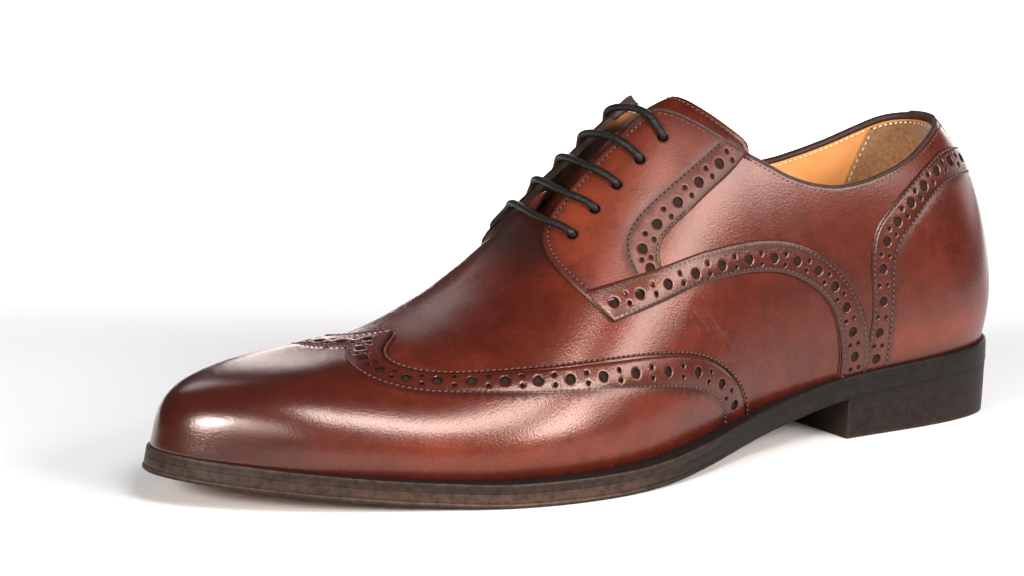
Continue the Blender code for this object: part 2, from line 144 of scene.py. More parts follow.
def closed_spline(points):
    p = np.asarray(points, float)
    n = len(p)
    h = np.linalg.norm(np.roll(p, -1, 0) - p, axis=1) ** 0.75
    t = np.concatenate([[0], np.cumsum(h)])
    a, b = np.zeros((n, n)), np.zeros((n, 2))
    for i in range(n):
        a[i, (i - 1) % n] += h[i - 1]
        a[i, i] += 2 * (h[i - 1] + h[i])
        a[i, (i + 1) % n] += h[i]
        b[i] = 6 * ((p[(i + 1) % n] - p[i]) / h[i] - (p[i] - p[i - 1]) / h[i - 1])
    m = np.linalg.solve(a, b)

    def f(u):
        s = np.atleast_1d(np.asarray(u, float)) % 1.0 * t[-1]
        i = np.clip(np.searchsorted(t, s, side="right") - 1, 0, n - 1)
        j = (i + 1) % n
        q = ((t[i + 1] - s) / h[i])[:, None]
        r = 1 - q
        return q * p[i] + r * p[j] + ((q ** 3 - q) * m[i] + (r ** 3 - r) * m[j]) * (h[i] ** 2)[:, None] / 6

    return f, t / t[-1]


outline, knots = closed_spline([HEEL_BACK] + [(x, a) for x, a, b in PLAN] + [TOE_TIP] + [(x, b) for x, a, b in PLAN][::-1])
U_TOE = knots[len(PLAN) + 1]
ridge_z, ridge_y = fair(RIDGE), fair(RIDGE_SWING)
full_across, full_up = table(SECTION, 1), table(SECTION, 2)
inset_at_welt, inset_fade = table(UNDERCUT, 1), table(UNDERCUT, 2)
underside, sole_edge, sole_reach = table(UNDERSIDE), table(SOLE_EDGE), table(SOLE_REACH)
collar_z, throat_half, tongue_half = table(COLLAR), table(THROAT), table(TONGUE)


def outward(u):
    d = outline(np.asarray(u) + 1e-4) - outline(np.asarray(u) - 1e-4)
    n = np.stack([-d[:, 1], d[:, 0]], 1)
    return n / np.linalg.norm(n, axis=1)[:, None]


def ridge_x(x):
    a, wa, b, wb = RIDGE_REAR, RIDGE_REAR_BLEND, RIDGE_FRONT, RIDGE_FRONT_BLEND
    c = np.where(x > b + wb, b, np.where(x > b - wb, x - (x - b + wb) ** 2 / (4 * wb), x))
    return np.where(x < a - wa, a, np.where(x < a + wa, c + (x - a - wa) ** 2 / (4 * wa), c))


def welt_top(x):
    return underside(x) + sole_edge(x)


def outsole_top(x):
    return welt_top(x) - WELT_THICK - GAP


def last(u, t):
    """Face of the upper: u round the plan (heel, lateral, toe, medial), t from the welt (0) to the ridge (pi/2)."""
    u, t = np.broadcast_arrays(np.atleast_1d(np.asarray(u, float)), np.atleast_1d(np.asarray(t, float)))
    f, n = outline(u), outward(u)
    x = f[:, 0]
    rx = ridge_x(x)
    c = np.stack([rx, ridge_y(rx)], 1)
    across = np.clip(np.cos(t), 0, 1) ** (2 / full_across(x))
    up = np.clip(np.sin(t), 0, 1) ** (2 / full_up(x))
    p = c + across[:, None] * (f - c)
    inset = inset_at_welt(x)
    foot = welt_top((f - n * inset[:, None])[:, 0]) + GAP
    z = foot + up * (ridge_z(p[:, 0]) - foot)
    s = np.clip((z - foot) / inset_fade(x), 0, 1)
    p = p - n * (inset * (1 - s) ** 2)[:, None]
    return np.column_stack([p, z])


def smooth(a, b, x):
    s = np.clip((np.asarray(x, float) - a) / (b - a), 0, 1)
    return s * s * (3 - 2 * s)


# ---------------------------------------------------------------- the last laid flat
NU, NS = 1080, 180
UG = np.linspace(0, 1, NU + 1)
_s = np.linspace(0, 1, 301) ** 1.5
TT = math.pi / 2 * (1 - (1 - _s) ** 3)
_f = outline(UG)
_p = last(np.repeat(UG, len(TT)), np.tile(TT, NU + 1)).reshape(NU + 1, len(TT), 3)
_seg = np.linalg.norm(np.diff(_p, axis=1), axis=2)
FROM_TOP = np.concatenate([np.cumsum(_seg[:, ::-1], 1)[:, ::-1], np.zeros((NU + 1, 1))], 1)
LMAX = FROM_TOP[:, 0]
TAU, ACR = np.zeros((NU + 1, NS + 1)), np.zeros((NU + 1, NS + 1))
for _i in range(NU + 1):
    _want = np.linspace(0, 1, NS + 1) * LMAX[_i]
    TAU[_i] = np.interp(_want, FROM_TOP[_i, ::-1], TT[::-1])
    ACR[_i] = np.interp(_want, FROM_TOP[_i, ::-1], (np.clip(np.cos(TT), 0, 1) ** (2 / full_across(_f[_i, 0])))[::-1])
_cx = ridge_x(_f[:, 0])
CEN = np.stack([_cx, ridge_y(_cx)], 1)
DIR = _f - CEN
DIR /= np.linalg.norm(DIR, axis=1)[:, None]
ARC = np.concatenate([[0], np.cumsum(np.linalg.norm(np.diff(_f, axis=0), axis=1))])
ARC_TOE = float(np.interp(U_TOE, UG, ARC))
ARC_ALL = ARC[-1]
_lat = UG <= U_TOE


def lerp_u(u):
    fu = (np.asarray(u, float) % 1.0) * NU
    i = np.clip(fu.astype(int), 0, NU - 1)
    return i, fu - i


def length_to_welt(u):
    i, a = lerp_u(u)
    return LMAX[i] * (1 - a) + LMAX[i + 1] * a


def u_at(x, side):
    """u of the outline at a distance x from the heel."""
    u = np.linspace(0, U_TOE, 3000) if side > 0 else np.linspace(1, U_TOE, 3000)
    return np.interp(x, outline(u)[:, 0], u)


def u_of_s(s):
    s = np.asarray(s, float)
    return np.interp(np.where(s >= 0, s, ARC_ALL + s), ARC, UG)


def s_of_u(u):
    a = np.interp(np.asarray(u, float) % 1.0, UG, ARC)
    return np.where(np.asarray(u) <= U_TOE, a, a - ARC_ALL)


def skin(u, l):
    """Point of the face a length l down the leather from the ridge."""
    i, a = lerp_u(u)
    lm = LMAX[i] * (1 - a) + LMAX[i + 1] * a
    s = np.clip(l / lm, 0, 1) * NS
    k = np.clip(s.astype(int), 0, NS - 1)
    b = s - k

    def grid(g):
        return (g[i, k] * (1 - b) + g[i, k + 1] * b) * (1 - a) + (g[i + 1, k] * (1 - b) + g[i + 1, k + 1] * b) * a

    t = np.where(s < 0.5 * NS, np.arccos(np.clip(grid(ACR), 0, 1) ** (full_across(outline(u)[:, 0]) / 2)), grid(TAU))
    q = last(u, t)
    q[:, 2] -= np.maximum(l - lm, 0)
    return q


def l_of(u, t):
    """Length from the ridge of the point (u, t), one point."""
    i, a = lerp_u(u)
    return float(np.interp(t, TT, FROM_TOP[i] * (1 - a) + FROM_TOP[i + 1] * a))


class Flat:
    """x along the shoe, w round the last from the ridge, lateral positive."""

    @staticmethod
    def ul(q):
        x, y = q[:, 0], q[:, 1] + ridge_y(q[:, 0])
        lat = q[:, 1] >= 0
        lo, hi = np.where(lat, 0.0, 1.0), np.full(len(q), U_TOE)
        for _ in range(40):
            mid = (lo + hi) / 2
            i, a = lerp_u(np.minimum(mid, 1 - 1e-9))
            c = CEN[i] * (1 - a)[:, None] + CEN[i + 1] * a[:, None]
            d = DIR[i] * (1 - a)[:, None] + DIR[i + 1] * a[:, None]
            h = d[:, 0] * (y - c[:, 1]) - d[:, 1] * (x - c[:, 0])
            h = np.where(lat, h, -h)
            lo, hi = np.where(h < 0, mid, lo), np.where(h < 0, hi, mid)
        return np.minimum((lo + hi) / 2, 1 - 1e-9), np.maximum((x - c[:, 0]) * d[:, 0] + (y - c[:, 1]) * d[:, 1], 0)

    @staticmethod
    def of(u, l):
        i, a = lerp_u(u)
        q = (CEN[i] * (1 - a)[:, None] + CEN[i + 1] * a[:, None]
             + l[:, None] * (DIR[i] * (1 - a)[:, None] + DIR[i + 1] * a[:, None]))
        q[:, 1] -= ridge_y(q[:, 0])
        return q


class Wall:
    """s round the plan from the back of the heel, lateral positive, l down the leather from the ridge."""

    @staticmethod
    def ul(q):
        return u_of_s(q[:, 0]), np.maximum(q[:, 1], 0)

    @staticmethod
    def of(u, l):
        return np.stack([s_of_u(u), l], 1)


def place(chart, q, e=0.06):
    """Points of the face with their tangents along the chart and outward normals."""
    q = np.asarray(q, float)
    p = skin(*chart.ul(q))
    ea, eb = np.array([e, 0.0]), np.array([0.0, e])
    d1 = (skin(*chart.ul(q + ea)) - skin(*chart.ul(q - ea))) / (2 * e)
    d2 = (skin(*chart.ul(q + eb)) - skin(*chart.ul(q - eb))) / (2 * e)
    n = np.cross(d1, d2)
    return p, d1, d2, n / np.maximum(np.linalg.norm(n, axis=1), 1e-9)[:, None]


def shift(d1, d2, v):
    """Chart step that moves a point by the vector v in space."""
    g11, g12, g22 = (d1 * d1).sum(1), (d1 * d2).sum(1), (d2 * d2).sum(1)
    a, b = (d1 * v).sum(1), (d2 * v).sum(1)
    det = g11 * g22 - g12 ** 2
    return np.stack([(g22 * a - g12 * b) / det, (g11 * b - g12 * a) / det], 1)


def curve(points, step=0.8):
    """Smooth line through a few points, evenly sampled."""
    p = np.asarray(points, float)
    t = np.concatenate([[0], np.cumsum(np.linalg.norm(np.diff(p, axis=0), axis=1) ** 0.7)])
    f = natural(t, p)
    q = f(np.linspace(0, t[-1], max(60, 30 * len(p))))
    return resample(q, step)


def resample(q, step):
    d = np.concatenate([[0], np.cumsum(np.linalg.norm(np.diff(q, axis=0), axis=1))])
    n = max(2, int(round(d[-1] / step)) + 1)
    want = np.linspace(0, d[-1], n)
    return np.stack([np.interp(want, d, q[:, k]) for k in range(q.shape[1])], 1)


def to_wall(q):
    return Wall.of(*Flat.ul(np.asarray(q, float)))


def other_side(q):
    """A wall-chart line of the lateral side brought to the medial side."""
    s = -q[:, 0] * (ARC_ALL - ARC_TOE) / ARC_TOE
    ratio = length_to_welt(u_of_s(s)) / length_to_welt(u_of_s(q[:, 0]))
    return np.stack([s, q[:, 1] * (1 + (ratio - 1) * smooth(15, 60, q[:, 1]))], 1)


def aside(chart, line, d):
    """Line moved by d millimetres to the left of its run, along the leather."""
    p, d1, d2, n = place(chart, line)
    g = np.gradient(line, axis=0)
    t = d1 * g[:, :1] + d2 * g[:, 1:]
    t /= np.maximum(np.linalg.norm(t, axis=1), 1e-9)[:, None]
    return line + shift(d1, d2, np.cross(n, t) * d)


def loop(*lines):
    out = []
    for line in lines:
        for q in np.asarray(line, float):
            if not out or np.linalg.norm(out[-1] - q) > 0.15:
                out.append(q)
    while np.linalg.norm(out[0] - out[-1]) <= 0.15:
        out.pop()
    p = np.array(out)
    area = 0.5 * (p[:, 0] * np.roll(p[:, 1], -1) - np.roll(p[:, 0], -1) * p[:, 1]).sum()
    return p if area > 0 else p[::-1]


def inside(poly, q):
    a, b = poly, np.roll(poly, -1, 0)
    out = np.zeros(len(q), bool)
    for k in range(0, len(q), 4000):
        x, y = q[k:k + 4000, :1], q[k:k + 4000, 1:]
        cross = (a[:, 1] > y) != (b[:, 1] > y)
        with np.errstate(divide="ignore", invalid="ignore"):
            at = a[:, 0] + (y - a[:, 1]) / (b[:, 1] - a[:, 1]) * (b[:, 0] - a[:, 0])
        out[k:k + 4000] = (cross & (x < at)).sum(1) % 2 == 1
    return out


def nearest(q, pts):
    """Distance of each q to the nearest of pts (any dimension)."""
    out = np.full(len(q), 1e9)
    if len(pts) == 0:
        return out
    for k in range(0, len(q), 2000):
        d = ((q[k:k + 2000, None, :] - pts[None]) ** 2).sum(2)
        out[k:k + 2000] = np.sqrt(d.min(1))
    return out


def near3(p, pts):
    """Same for many points in space, with a tree."""
    if len(pts) == 0:
        return np.full(len(p), 1e9)
    tree = KDTree(len(pts))
    for i, q in enumerate(pts):
        tree.insert(q, i)
    tree.balance()
    return np.array([tree.find(q)[2] for q in p])


# ---------------------------------------------------------------- materials
def nodes_of(name):
    mat = bpy.data.materials.new(name)
    mat.use_nodes = True
    nt = mat.node_tree
    return mat, nt, nt.nodes["Principled BSDF"]


def add(nt, kind, **values):
    node = nt.nodes.new(kind)
    for k, v in values.items():
        if hasattr(node, k):
            setattr(node, k, v)
        else:
            node.inputs[k.replace("_", " ")].default_value = v
    return node


def ramp(nt, source, stops):
    r = nt.nodes.new("ShaderNodeValToRGB")
    while len(r.color_ramp.elements) < len(stops):
        r.color_ramp.elements.new(0.5)
    for e, (pos, col) in zip(r.color_ramp.elements, stops):
        e.position = pos
        e.color = (*col, 1) if len(col) == 3 else col
    nt.links.new(source, r.inputs["Fac"])
    return r.outputs["Color"]


def blend(nt, factor, a, b, kind="MIX"):
    m = nt.nodes.new("ShaderNodeMix")
    m.data_type = "RGBA"
    m.blend_type = kind
    m.clamp_factor = True
    if isinstance(factor, float):
        m.inputs[0].default_value = factor
    else:
        nt.links.new(factor, m.inputs[0])
    for k, v in ((6, a), (7, b)):
        if isinstance(v, tuple):
            m.inputs[k].default_value = (*v, 1)
        else:
            nt.links.new(v, m.inputs[k])
    return m.outputs[2]


def maths(nt, kind, a, b=None, c=None):
    m = nt.nodes.new("ShaderNodeMath")
    m.operation = kind
    for k, v in enumerate((a, b, c)):
        if v is None:
            continue
        if isinstance(v, (int, float)):
            m.inputs[k].default_value = v
        else:
            nt.links.new(v, m.inputs[k])
    return m.outputs[0]


def noise(nt, co, scale, detail=3.0, rough=0.55, dist=0.0):
    n = add(nt, "ShaderNodeTexNoise", Scale=scale, Detail=detail, Roughness=rough, Distortion=dist)
    nt.links.new(co, n.inputs["Vector"])
    return n.outputs["Fac"]


def cells(nt, co, scale, feature="F1", rand=1.0):
    v = add(nt, "ShaderNodeTexVoronoi", Scale=scale, Randomness=rand)
    v.feature = feature
    if feature == "SMOOTH_F1":
        v.inputs["Smoothness"].default_value = 0.4
    nt.links.new(co, v.inputs["Vector"])
    return v.outputs["Distance"]


def bump(nt, bsdf, height, strength, distance, normal=None):
    b = add(nt, "ShaderNodeBump", Strength=strength, Distance=distance)
    nt.links.new(height, b.inputs["Height"])
    if normal is not None:
        nt.links.new(normal, b.inputs["Normal"])
    if bsdf is not None:
        nt.links.new(b.outputs["Normal"], bsdf.inputs["Normal"])
    return b.outputs["Normal"]


def attribute(nt, name):
    a = nt.nodes.new("ShaderNodeAttribute")
    a.attribute_name = name
    return a.outputs["Fac"]


def coords(nt):
    return nt.nodes.new("ShaderNodeTexCoord").outputs["Object"]


def calf(name, light, deep, dark, warm, rough=0.3, grain=0.5, shine=0.66):
    """Burnished calf: mottled dye, darker where it is burnished and where shade is painted, lighter where a reflection
    of the floor is painted, fine pebble grain under a thin wax finish.
    """
    mat, nt, bsdf = nodes_of(name)
    co = coords(nt)
    patches, fine = noise(nt, co, 26.0, 4.0, 0.6, 0.6), noise(nt, co, 240.0, 5.0, 0.65)
    dye = ramp(nt, patches, [(0.3, deep), (0.7, light)])
    # warmer and brighter where the attribute is high: spots of warmer colour, and the painted reflection of the floor
    # above the welt
    dye = blend(nt, maths(nt, "MULTIPLY", attribute(nt, "warm"), 1.0), dye, warm)
    mott = ramp(nt, fine, [(0.2, (0.88, 0.86, 0.85)), (0.8, (1.10, 1.10, 1.10))])
    dye = blend(nt, 0.8, dye, mott, "MULTIPLY")
    cloud = ramp(nt, noise(nt, co, 90.0, 4.0, 0.6, 0.5), [(0.30, (0.66, 0.60, 0.56)), (0.70, (1.20, 1.22, 1.22))])
    dye = blend(nt, 0.85, dye, cloud, "MULTIPLY")
    uneven = maths(nt, "MULTIPLY_ADD", patches, 0.5, 0.75)
    # darker where the attribute is high: burnishing, and painted shade by the welt, by the lacing and on the quarter
    dye = blend(nt, maths(nt, "MULTIPLY", attribute(nt, "burnish"), uneven), dye, dark)
    pebble, pores = noise(nt, co, 1500.0, 1.0, 0.5), noise(nt, co, 3000.0, 2.0, 0.6)
    flecks = ramp(nt, pebble, [(0.3, (0.84, 0.83, 0.82)), (0.7, (1.12, 1.12, 1.12))])
    dye = blend(nt, 0.6, dye, flecks, "MULTIPLY")
    dots = ramp(nt, noise(nt, co, 950.0, 3.0, 0.6), [(0.3, (0.86, 0.84, 0.82)), (0.7, (1.12, 1.12, 1.12))])
    dye = blend(nt, 0.6, dye, dots, "MULTIPLY")
    nt.links.new(dye, bsdf.inputs["Base Color"])
    r = maths(nt, "MULTIPLY_ADD", fine, 0.08, rough - 0.04)
    # the cap is polished towards the toe; burnished cut edges and the patches of painted shade stay dull
    xyz = nt.nodes.new("ShaderNodeSeparateXYZ")
    nt.links.new(co, xyz.inputs[0])
    polish = maths(nt, "MINIMUM", maths(nt, "MAXIMUM", maths(nt, "MULTIPLY_ADD", xyz.outputs["X"], 14.0, -0.8), 0.0), 1.0)
    r = maths(nt, "MULTIPLY_ADD", maths(nt, "MULTIPLY", attribute(nt, "burnish"), maths(nt, "SUBTRACT", 1.0, polish)), 0.06, r)
    r = maths(nt, "MULTIPLY_ADD", polish, -0.03, r)
    nt.links.new(r, bsdf.inputs["Roughness"])
    h = maths(nt, "MULTIPLY_ADD", pores, 0.25, pebble)
    bump(nt, bsdf, h, grain, 0.00011)
    nt.links.new(maths(nt, "MULTIPLY_ADD", polish, 0.32, 0.05), bsdf.inputs["Coat Weight"])
    bsdf.inputs["Coat Roughness"].default_value = 0.24
    bsdf.inputs["Specular IOR Level"].default_value = shine
    bsdf.inputs["Specular Tint"].default_value = (1.0, 0.70, 0.60, 1.0)
    return mat


def plain_leather(name, a, b, scale, rough, grain, grain_scale, distance=0.0001, sheen=0.0, coat=0.0, streak=None,
                  grimy_and_shaded=False, shine=0.5):
    """Leather without the burnish: two tones, fine grain; streak stretches the tones along x."""
    mat, nt, bsdf = nodes_of(name)
    co = coords(nt)
    m = nt.nodes.new("ShaderNodeMapping")
    m.inputs["Scale"].default_value = streak or (1, 1, 1)
    nt.links.new(co, m.inputs["Vector"])
    tone = noise(nt, m.outputs[0], scale, 5.0, 0.65, 0.3)
    base = ramp(nt, tone, [(0.3, a), (0.7, b)])
    # the lining darkens by the attribute towards a dark brown: painted shade in the lacing gap, partly grime
    if grimy_and_shaded:
        base = blend(nt, attribute(nt, "grime"), base, (0.012, 0.008, 0.006))
    nt.links.new(base, bsdf.inputs["Base Color"])
    g = noise(nt, co, grain_scale, 4.0, 0.7)
    nt.links.new(maths(nt, "MULTIPLY_ADD", g, 0.2, rough - 0.1), bsdf.inputs["Roughness"])
    h = maths(nt, "MULTIPLY_ADD", cells(nt, co, grain_scale * 0.6, "SMOOTH_F1"), 0.8, g)
    bump(nt, bsdf, h, grain, distance)
    bsdf.inputs["Specular IOR Level"].default_value = shine
    bsdf.inputs["Sheen Weight"].default_value = sheen
    bsdf.inputs["Sheen Roughness"].default_value = 0.5
    bsdf.inputs["Coat Weight"].default_value = coat
    bsdf.inputs["Coat Roughness"].default_value = 0.2
    return mat


def edge_finish(name, ink, worn, rough, coat):
    """Inked sole leather: wear shows brown by the attribute, with fine lengthwise lines of the layers."""
    mat, nt, bsdf = nodes_of(name)
    co = coords(nt)
    m = nt.nodes.new("ShaderNodeMapping")
    m.inputs["Scale"].default_value = (0.12, 0.12, 1.0)
    nt.links.new(co, m.inputs["Vector"])
    lines, spots = noise(nt, m.outputs[0], 1500.0, 4.0, 0.7), noise(nt, co, 420.0, 5.0, 0.7)
    wear = maths(nt, "MULTIPLY", attribute(nt, "wear"), ramp(nt, spots, [(0.3, (0.25,) * 3), (0.68, (1.0,) * 3)]))
    base = blend(nt, wear, ramp(nt, spots, [(0.3, ink), (0.75, tuple(min(1, c * 1.8 + 0.004) for c in ink))]), worn)
    nt.links.new(base, bsdf.inputs["Base Color"])
    nt.links.new(maths(nt, "MULTIPLY_ADD", spots, 0.3, rough - 0.15), bsdf.inputs["Roughness"])
    bump(nt, bsdf, maths(nt, "MULTIPLY_ADD", lines, 0.7, spots), 0.35, 0.0001)
    bsdf.inputs["Specular IOR Level"].default_value = 0.11
    bsdf.inputs["Coat Weight"].default_value = coat
    bsdf.inputs["Coat Roughness"].default_value = 0.25
    return mat


CALF = calf("burnished_calf", (0.096, 0.0136, 0.0068), (0.050, 0.0058, 0.0032), (0.0155, 0.0040, 0.0031), (0.172, 0.0300, 0.0110), 0.25, 0.5)
CALF_FACING = calf("burnished_calf_facing", (0.096, 0.0136, 0.0068), (0.050, 0.0058, 0.0032), (0.0155, 0.0040, 0.0031), (0.172, 0.0300, 0.0110), 0.38, 0.5, 0.52)
CUT = plain_leather("cut_leather_edge", (0.010, 0.0048, 0.004), (0.026, 0.011, 0.008), 500.0, 0.75, 0.5, 1800.0, shine=0.06)
LINING = plain_leather("tan_lining", (0.78, 0.320, 0.098), (0.90, 0.395, 0.135), 60.0, 0.5, 0.25, 1400.0, grimy_and_shaded=True, shine=0.3)
GRIP = plain_leather("suede_heel_grip", (0.23, 0.105, 0.036), (0.46, 0.235, 0.090), 700.0, 0.9, 0.9, 1500.0, 0.0003, sheen=0.3, shine=0.1)
FLESH = plain_leather("facing_lining", (0.10, 0.050, 0.020), (0.18, 0.095, 0.040), 200.0, 0.75, 0.4, 1500.0, grimy_and_shaded=True, shine=0.12)
BINDING = plain_leather("collar_binding", (0.018, 0.0080, 0.0060), (0.044, 0.0190, 0.0138), 300.0, 0.5, 0.4, 1600.0, shine=0.25)
THREAD = plain_leather("waxed_thread", (0.055, 0.022, 0.015), (0.135, 0.058, 0.041), 900.0, 0.5, 0.5, 5000.0, 0.0001, shine=0.25)
CREAM = plain_leather("cream_thread", (0.55, 0.43, 0.27), (0.75, 0.62, 0.42), 900.0, 0.6, 0.6, 5000.0, 0.0001)
# floor colour of the punchings and needle holes: darker than the leather beneath, painted shade in the holes
HOLE_SHADE = plain_leather("punch_painted_shade", (0.010, 0.0040, 0.0030), (0.034, 0.0125, 0.0085), 700.0, 0.8, 0.6, 2000.0, shine=0.1)
SOLE_EDGE_MAT = edge_finish("sole_edge_ink", (0.0050, 0.0035, 0.0029), (0.108, 0.058, 0.038), 0.45, 0.02)
LEDGE = plain_leather("welt_top_ink", (0.0035, 0.0026, 0.0024), (0.009, 0.0066, 0.006), 300.0, 0.75, 0.5, 1500.0, shine=0.15)
HEEL_MAT = edge_finish("heel_ink", (0.0055, 0.0036, 0.0030), (0.070, 0.034, 0.020), 0.5, 0.02)
SOLE_BOTTOM = plain_leather("sole_leather", (0.30, 0.155, 0.065), (0.42, 0.235, 0.11), 55.0, 0.45, 0.3, 900.0, 0.0001, coat=0.1,
                            streak=(0.35, 1, 1))
RUBBER = plain_leather("heel_top_piece", (0.010, 0.010, 0.010), (0.024, 0.022, 0.021), 300.0, 0.6, 0.5, 1200.0, 0.0002)
SOCK = plain_leather("sock_leather", (0.46, 0.21, 0.06), (0.58, 0.28, 0.088), 45.0, 0.48, 0.25, 1200.0)


# ---------------------------------------------------------------- mesh making
def make(name, verts, faces, mats, face_mat=None, slot=None, sharp=38.0, **attrs):
    mesh = bpy.data.meshes.new(name)
    mesh.from_pydata(((np.asarray(verts) - ORIGIN) * 0.001).tolist(), [], faces)
    for m in mats:
        mesh.materials.append(m)
    if face_mat is not None:
        mesh.polygons.foreach_set("material_index", np.asarray(face_mat, np.int32))
    for key, value in attrs.items():
        a = mesh.attributes.new(key, "FLOAT", "POINT")
        a.data.foreach_set("value", np.asarray(value, np.float32))
    mesh.validate()
    mesh.update()
    mesh.shade_smooth()
    mesh.set_sharp_from_angle(angle=math.radians(sharp))
    ob = bpy.data.objects.new(name, mesh)
    bpy.context.scene.collection.objects.link(ob)
    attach(ob, "root")
    return ob


def global_burnish(p):
    """Slow darkening: burnishing towards the toe and down the back of the heel; darker over the vamp in front of the
    lacing; painted shade along the joint with the welt and in two patches, on the quarter and low on the waist.
    """
    x, z = p[:, 0], p[:, 2]
    toe = 0.66 * smooth(216, 288, x)
    # painted shade in the joint between the upper and the welt
    low = 0.45 * (1 - smooth(0.2, 3.0, z - welt_top(x)))
    back = 0.22 * (1 - smooth(0, 26, x))
    vamp = 0.32 * smooth(172, 196, x) * (1 - smooth(215, 240, x)) * smooth(34, 46, z)
    # painted shade: a patch on the quarter and one low on the waist
    under = 0.45 * np.exp(-((x - 76) / 26) ** 2 - ((z - 50) / 17) ** 2) + 0.3 * np.exp(-((x - 112) / 24) ** 2 - ((z - 33) / 12) ** 2)
    return np.clip(np.maximum.reduce([toe, low, back, vamp, under]) + 0.25 * toe * low, 0, 1)


def global_warm(p):
    """Warmer, brighter colour: spots on the lower facing, the quarter under its bands and the waist of the vamp; and a
    painted reflection of the floor on the lower side, just above the welt, along the forefoot and round the heel.
    """
    def spot(c, r):
        return np.exp(-(((p - np.array(c)) / np.array(r)) ** 2).sum(1))
    x, above = p[:, 0], p[:, 2] - welt_top(p[:, 0])
    # painted reflection of the floor: the band a little above the welt is lit up
    low = smooth(1.0, 5.0, above) * (1 - smooth(9.0, 17.0, above))
    foot = low * (0.32 * smooth(150, 185, x) * (1 - smooth(262, 285, x)) + 0.5 * (1 - smooth(52, 76, x)))
    return np.clip(0.15 * spot((168, 20, 68), (16, 40, 14)) + 0.4 * spot((150, 32, 62), (22, 40, 9)) + 0.5 * spot((152, 12, 92), (20, 40, 14)) + 0.4 * spot((166, 8, 82), (12, 30, 9))
                   + 0.25 * spot((172, 45, 42), (40, 40, 9)) + 0.12 * spot((60, 30, 66), (16, 60, 14)) + foot + 0.04, 0, 1)


class Holes:
    """Round punchings, kept round on the curved leather."""

    def __init__(self, chart, centres, radius, sides):
        self.c, self.r, self.n = np.asarray(centres, float).reshape(-1, 2), radius, sides
        self.p, d1, d2, self.normal = place(chart, self.c)
        self.g = np.stack([(d1 * d1).sum(1), (d1 * d2).sum(1), (d2 * d2).sum(1)], 1)
        self.d1, self.d2 = d1, d2

    def ring(self, i, r):
        e = self.d1[i] / np.linalg.norm(self.d1[i])
        f = np.cross(self.normal[i], e)
        a = np.linspace(0, 2 * math.pi, self.n, endpoint=False)
        v = r * (np.cos(a)[:, None] * e + np.sin(a)[:, None] * f)
        n = len(a)
        return self.c[i] + shift(np.tile(self.d1[i], (n, 1)), np.tile(self.d2[i], (n, 1)), v)

    def holds(self, q):
        out = np.zeros(len(q), bool)
        for c, g in zip(self.c, self.g):
            d = q - c
            out |= (g[0] * d[:, 0] ** 2 + 2 * g[1] * d[:, 0] * d[:, 1] + g[2] * d[:, 1] ** 2) < (self.r * 0.97) ** 2
        return out


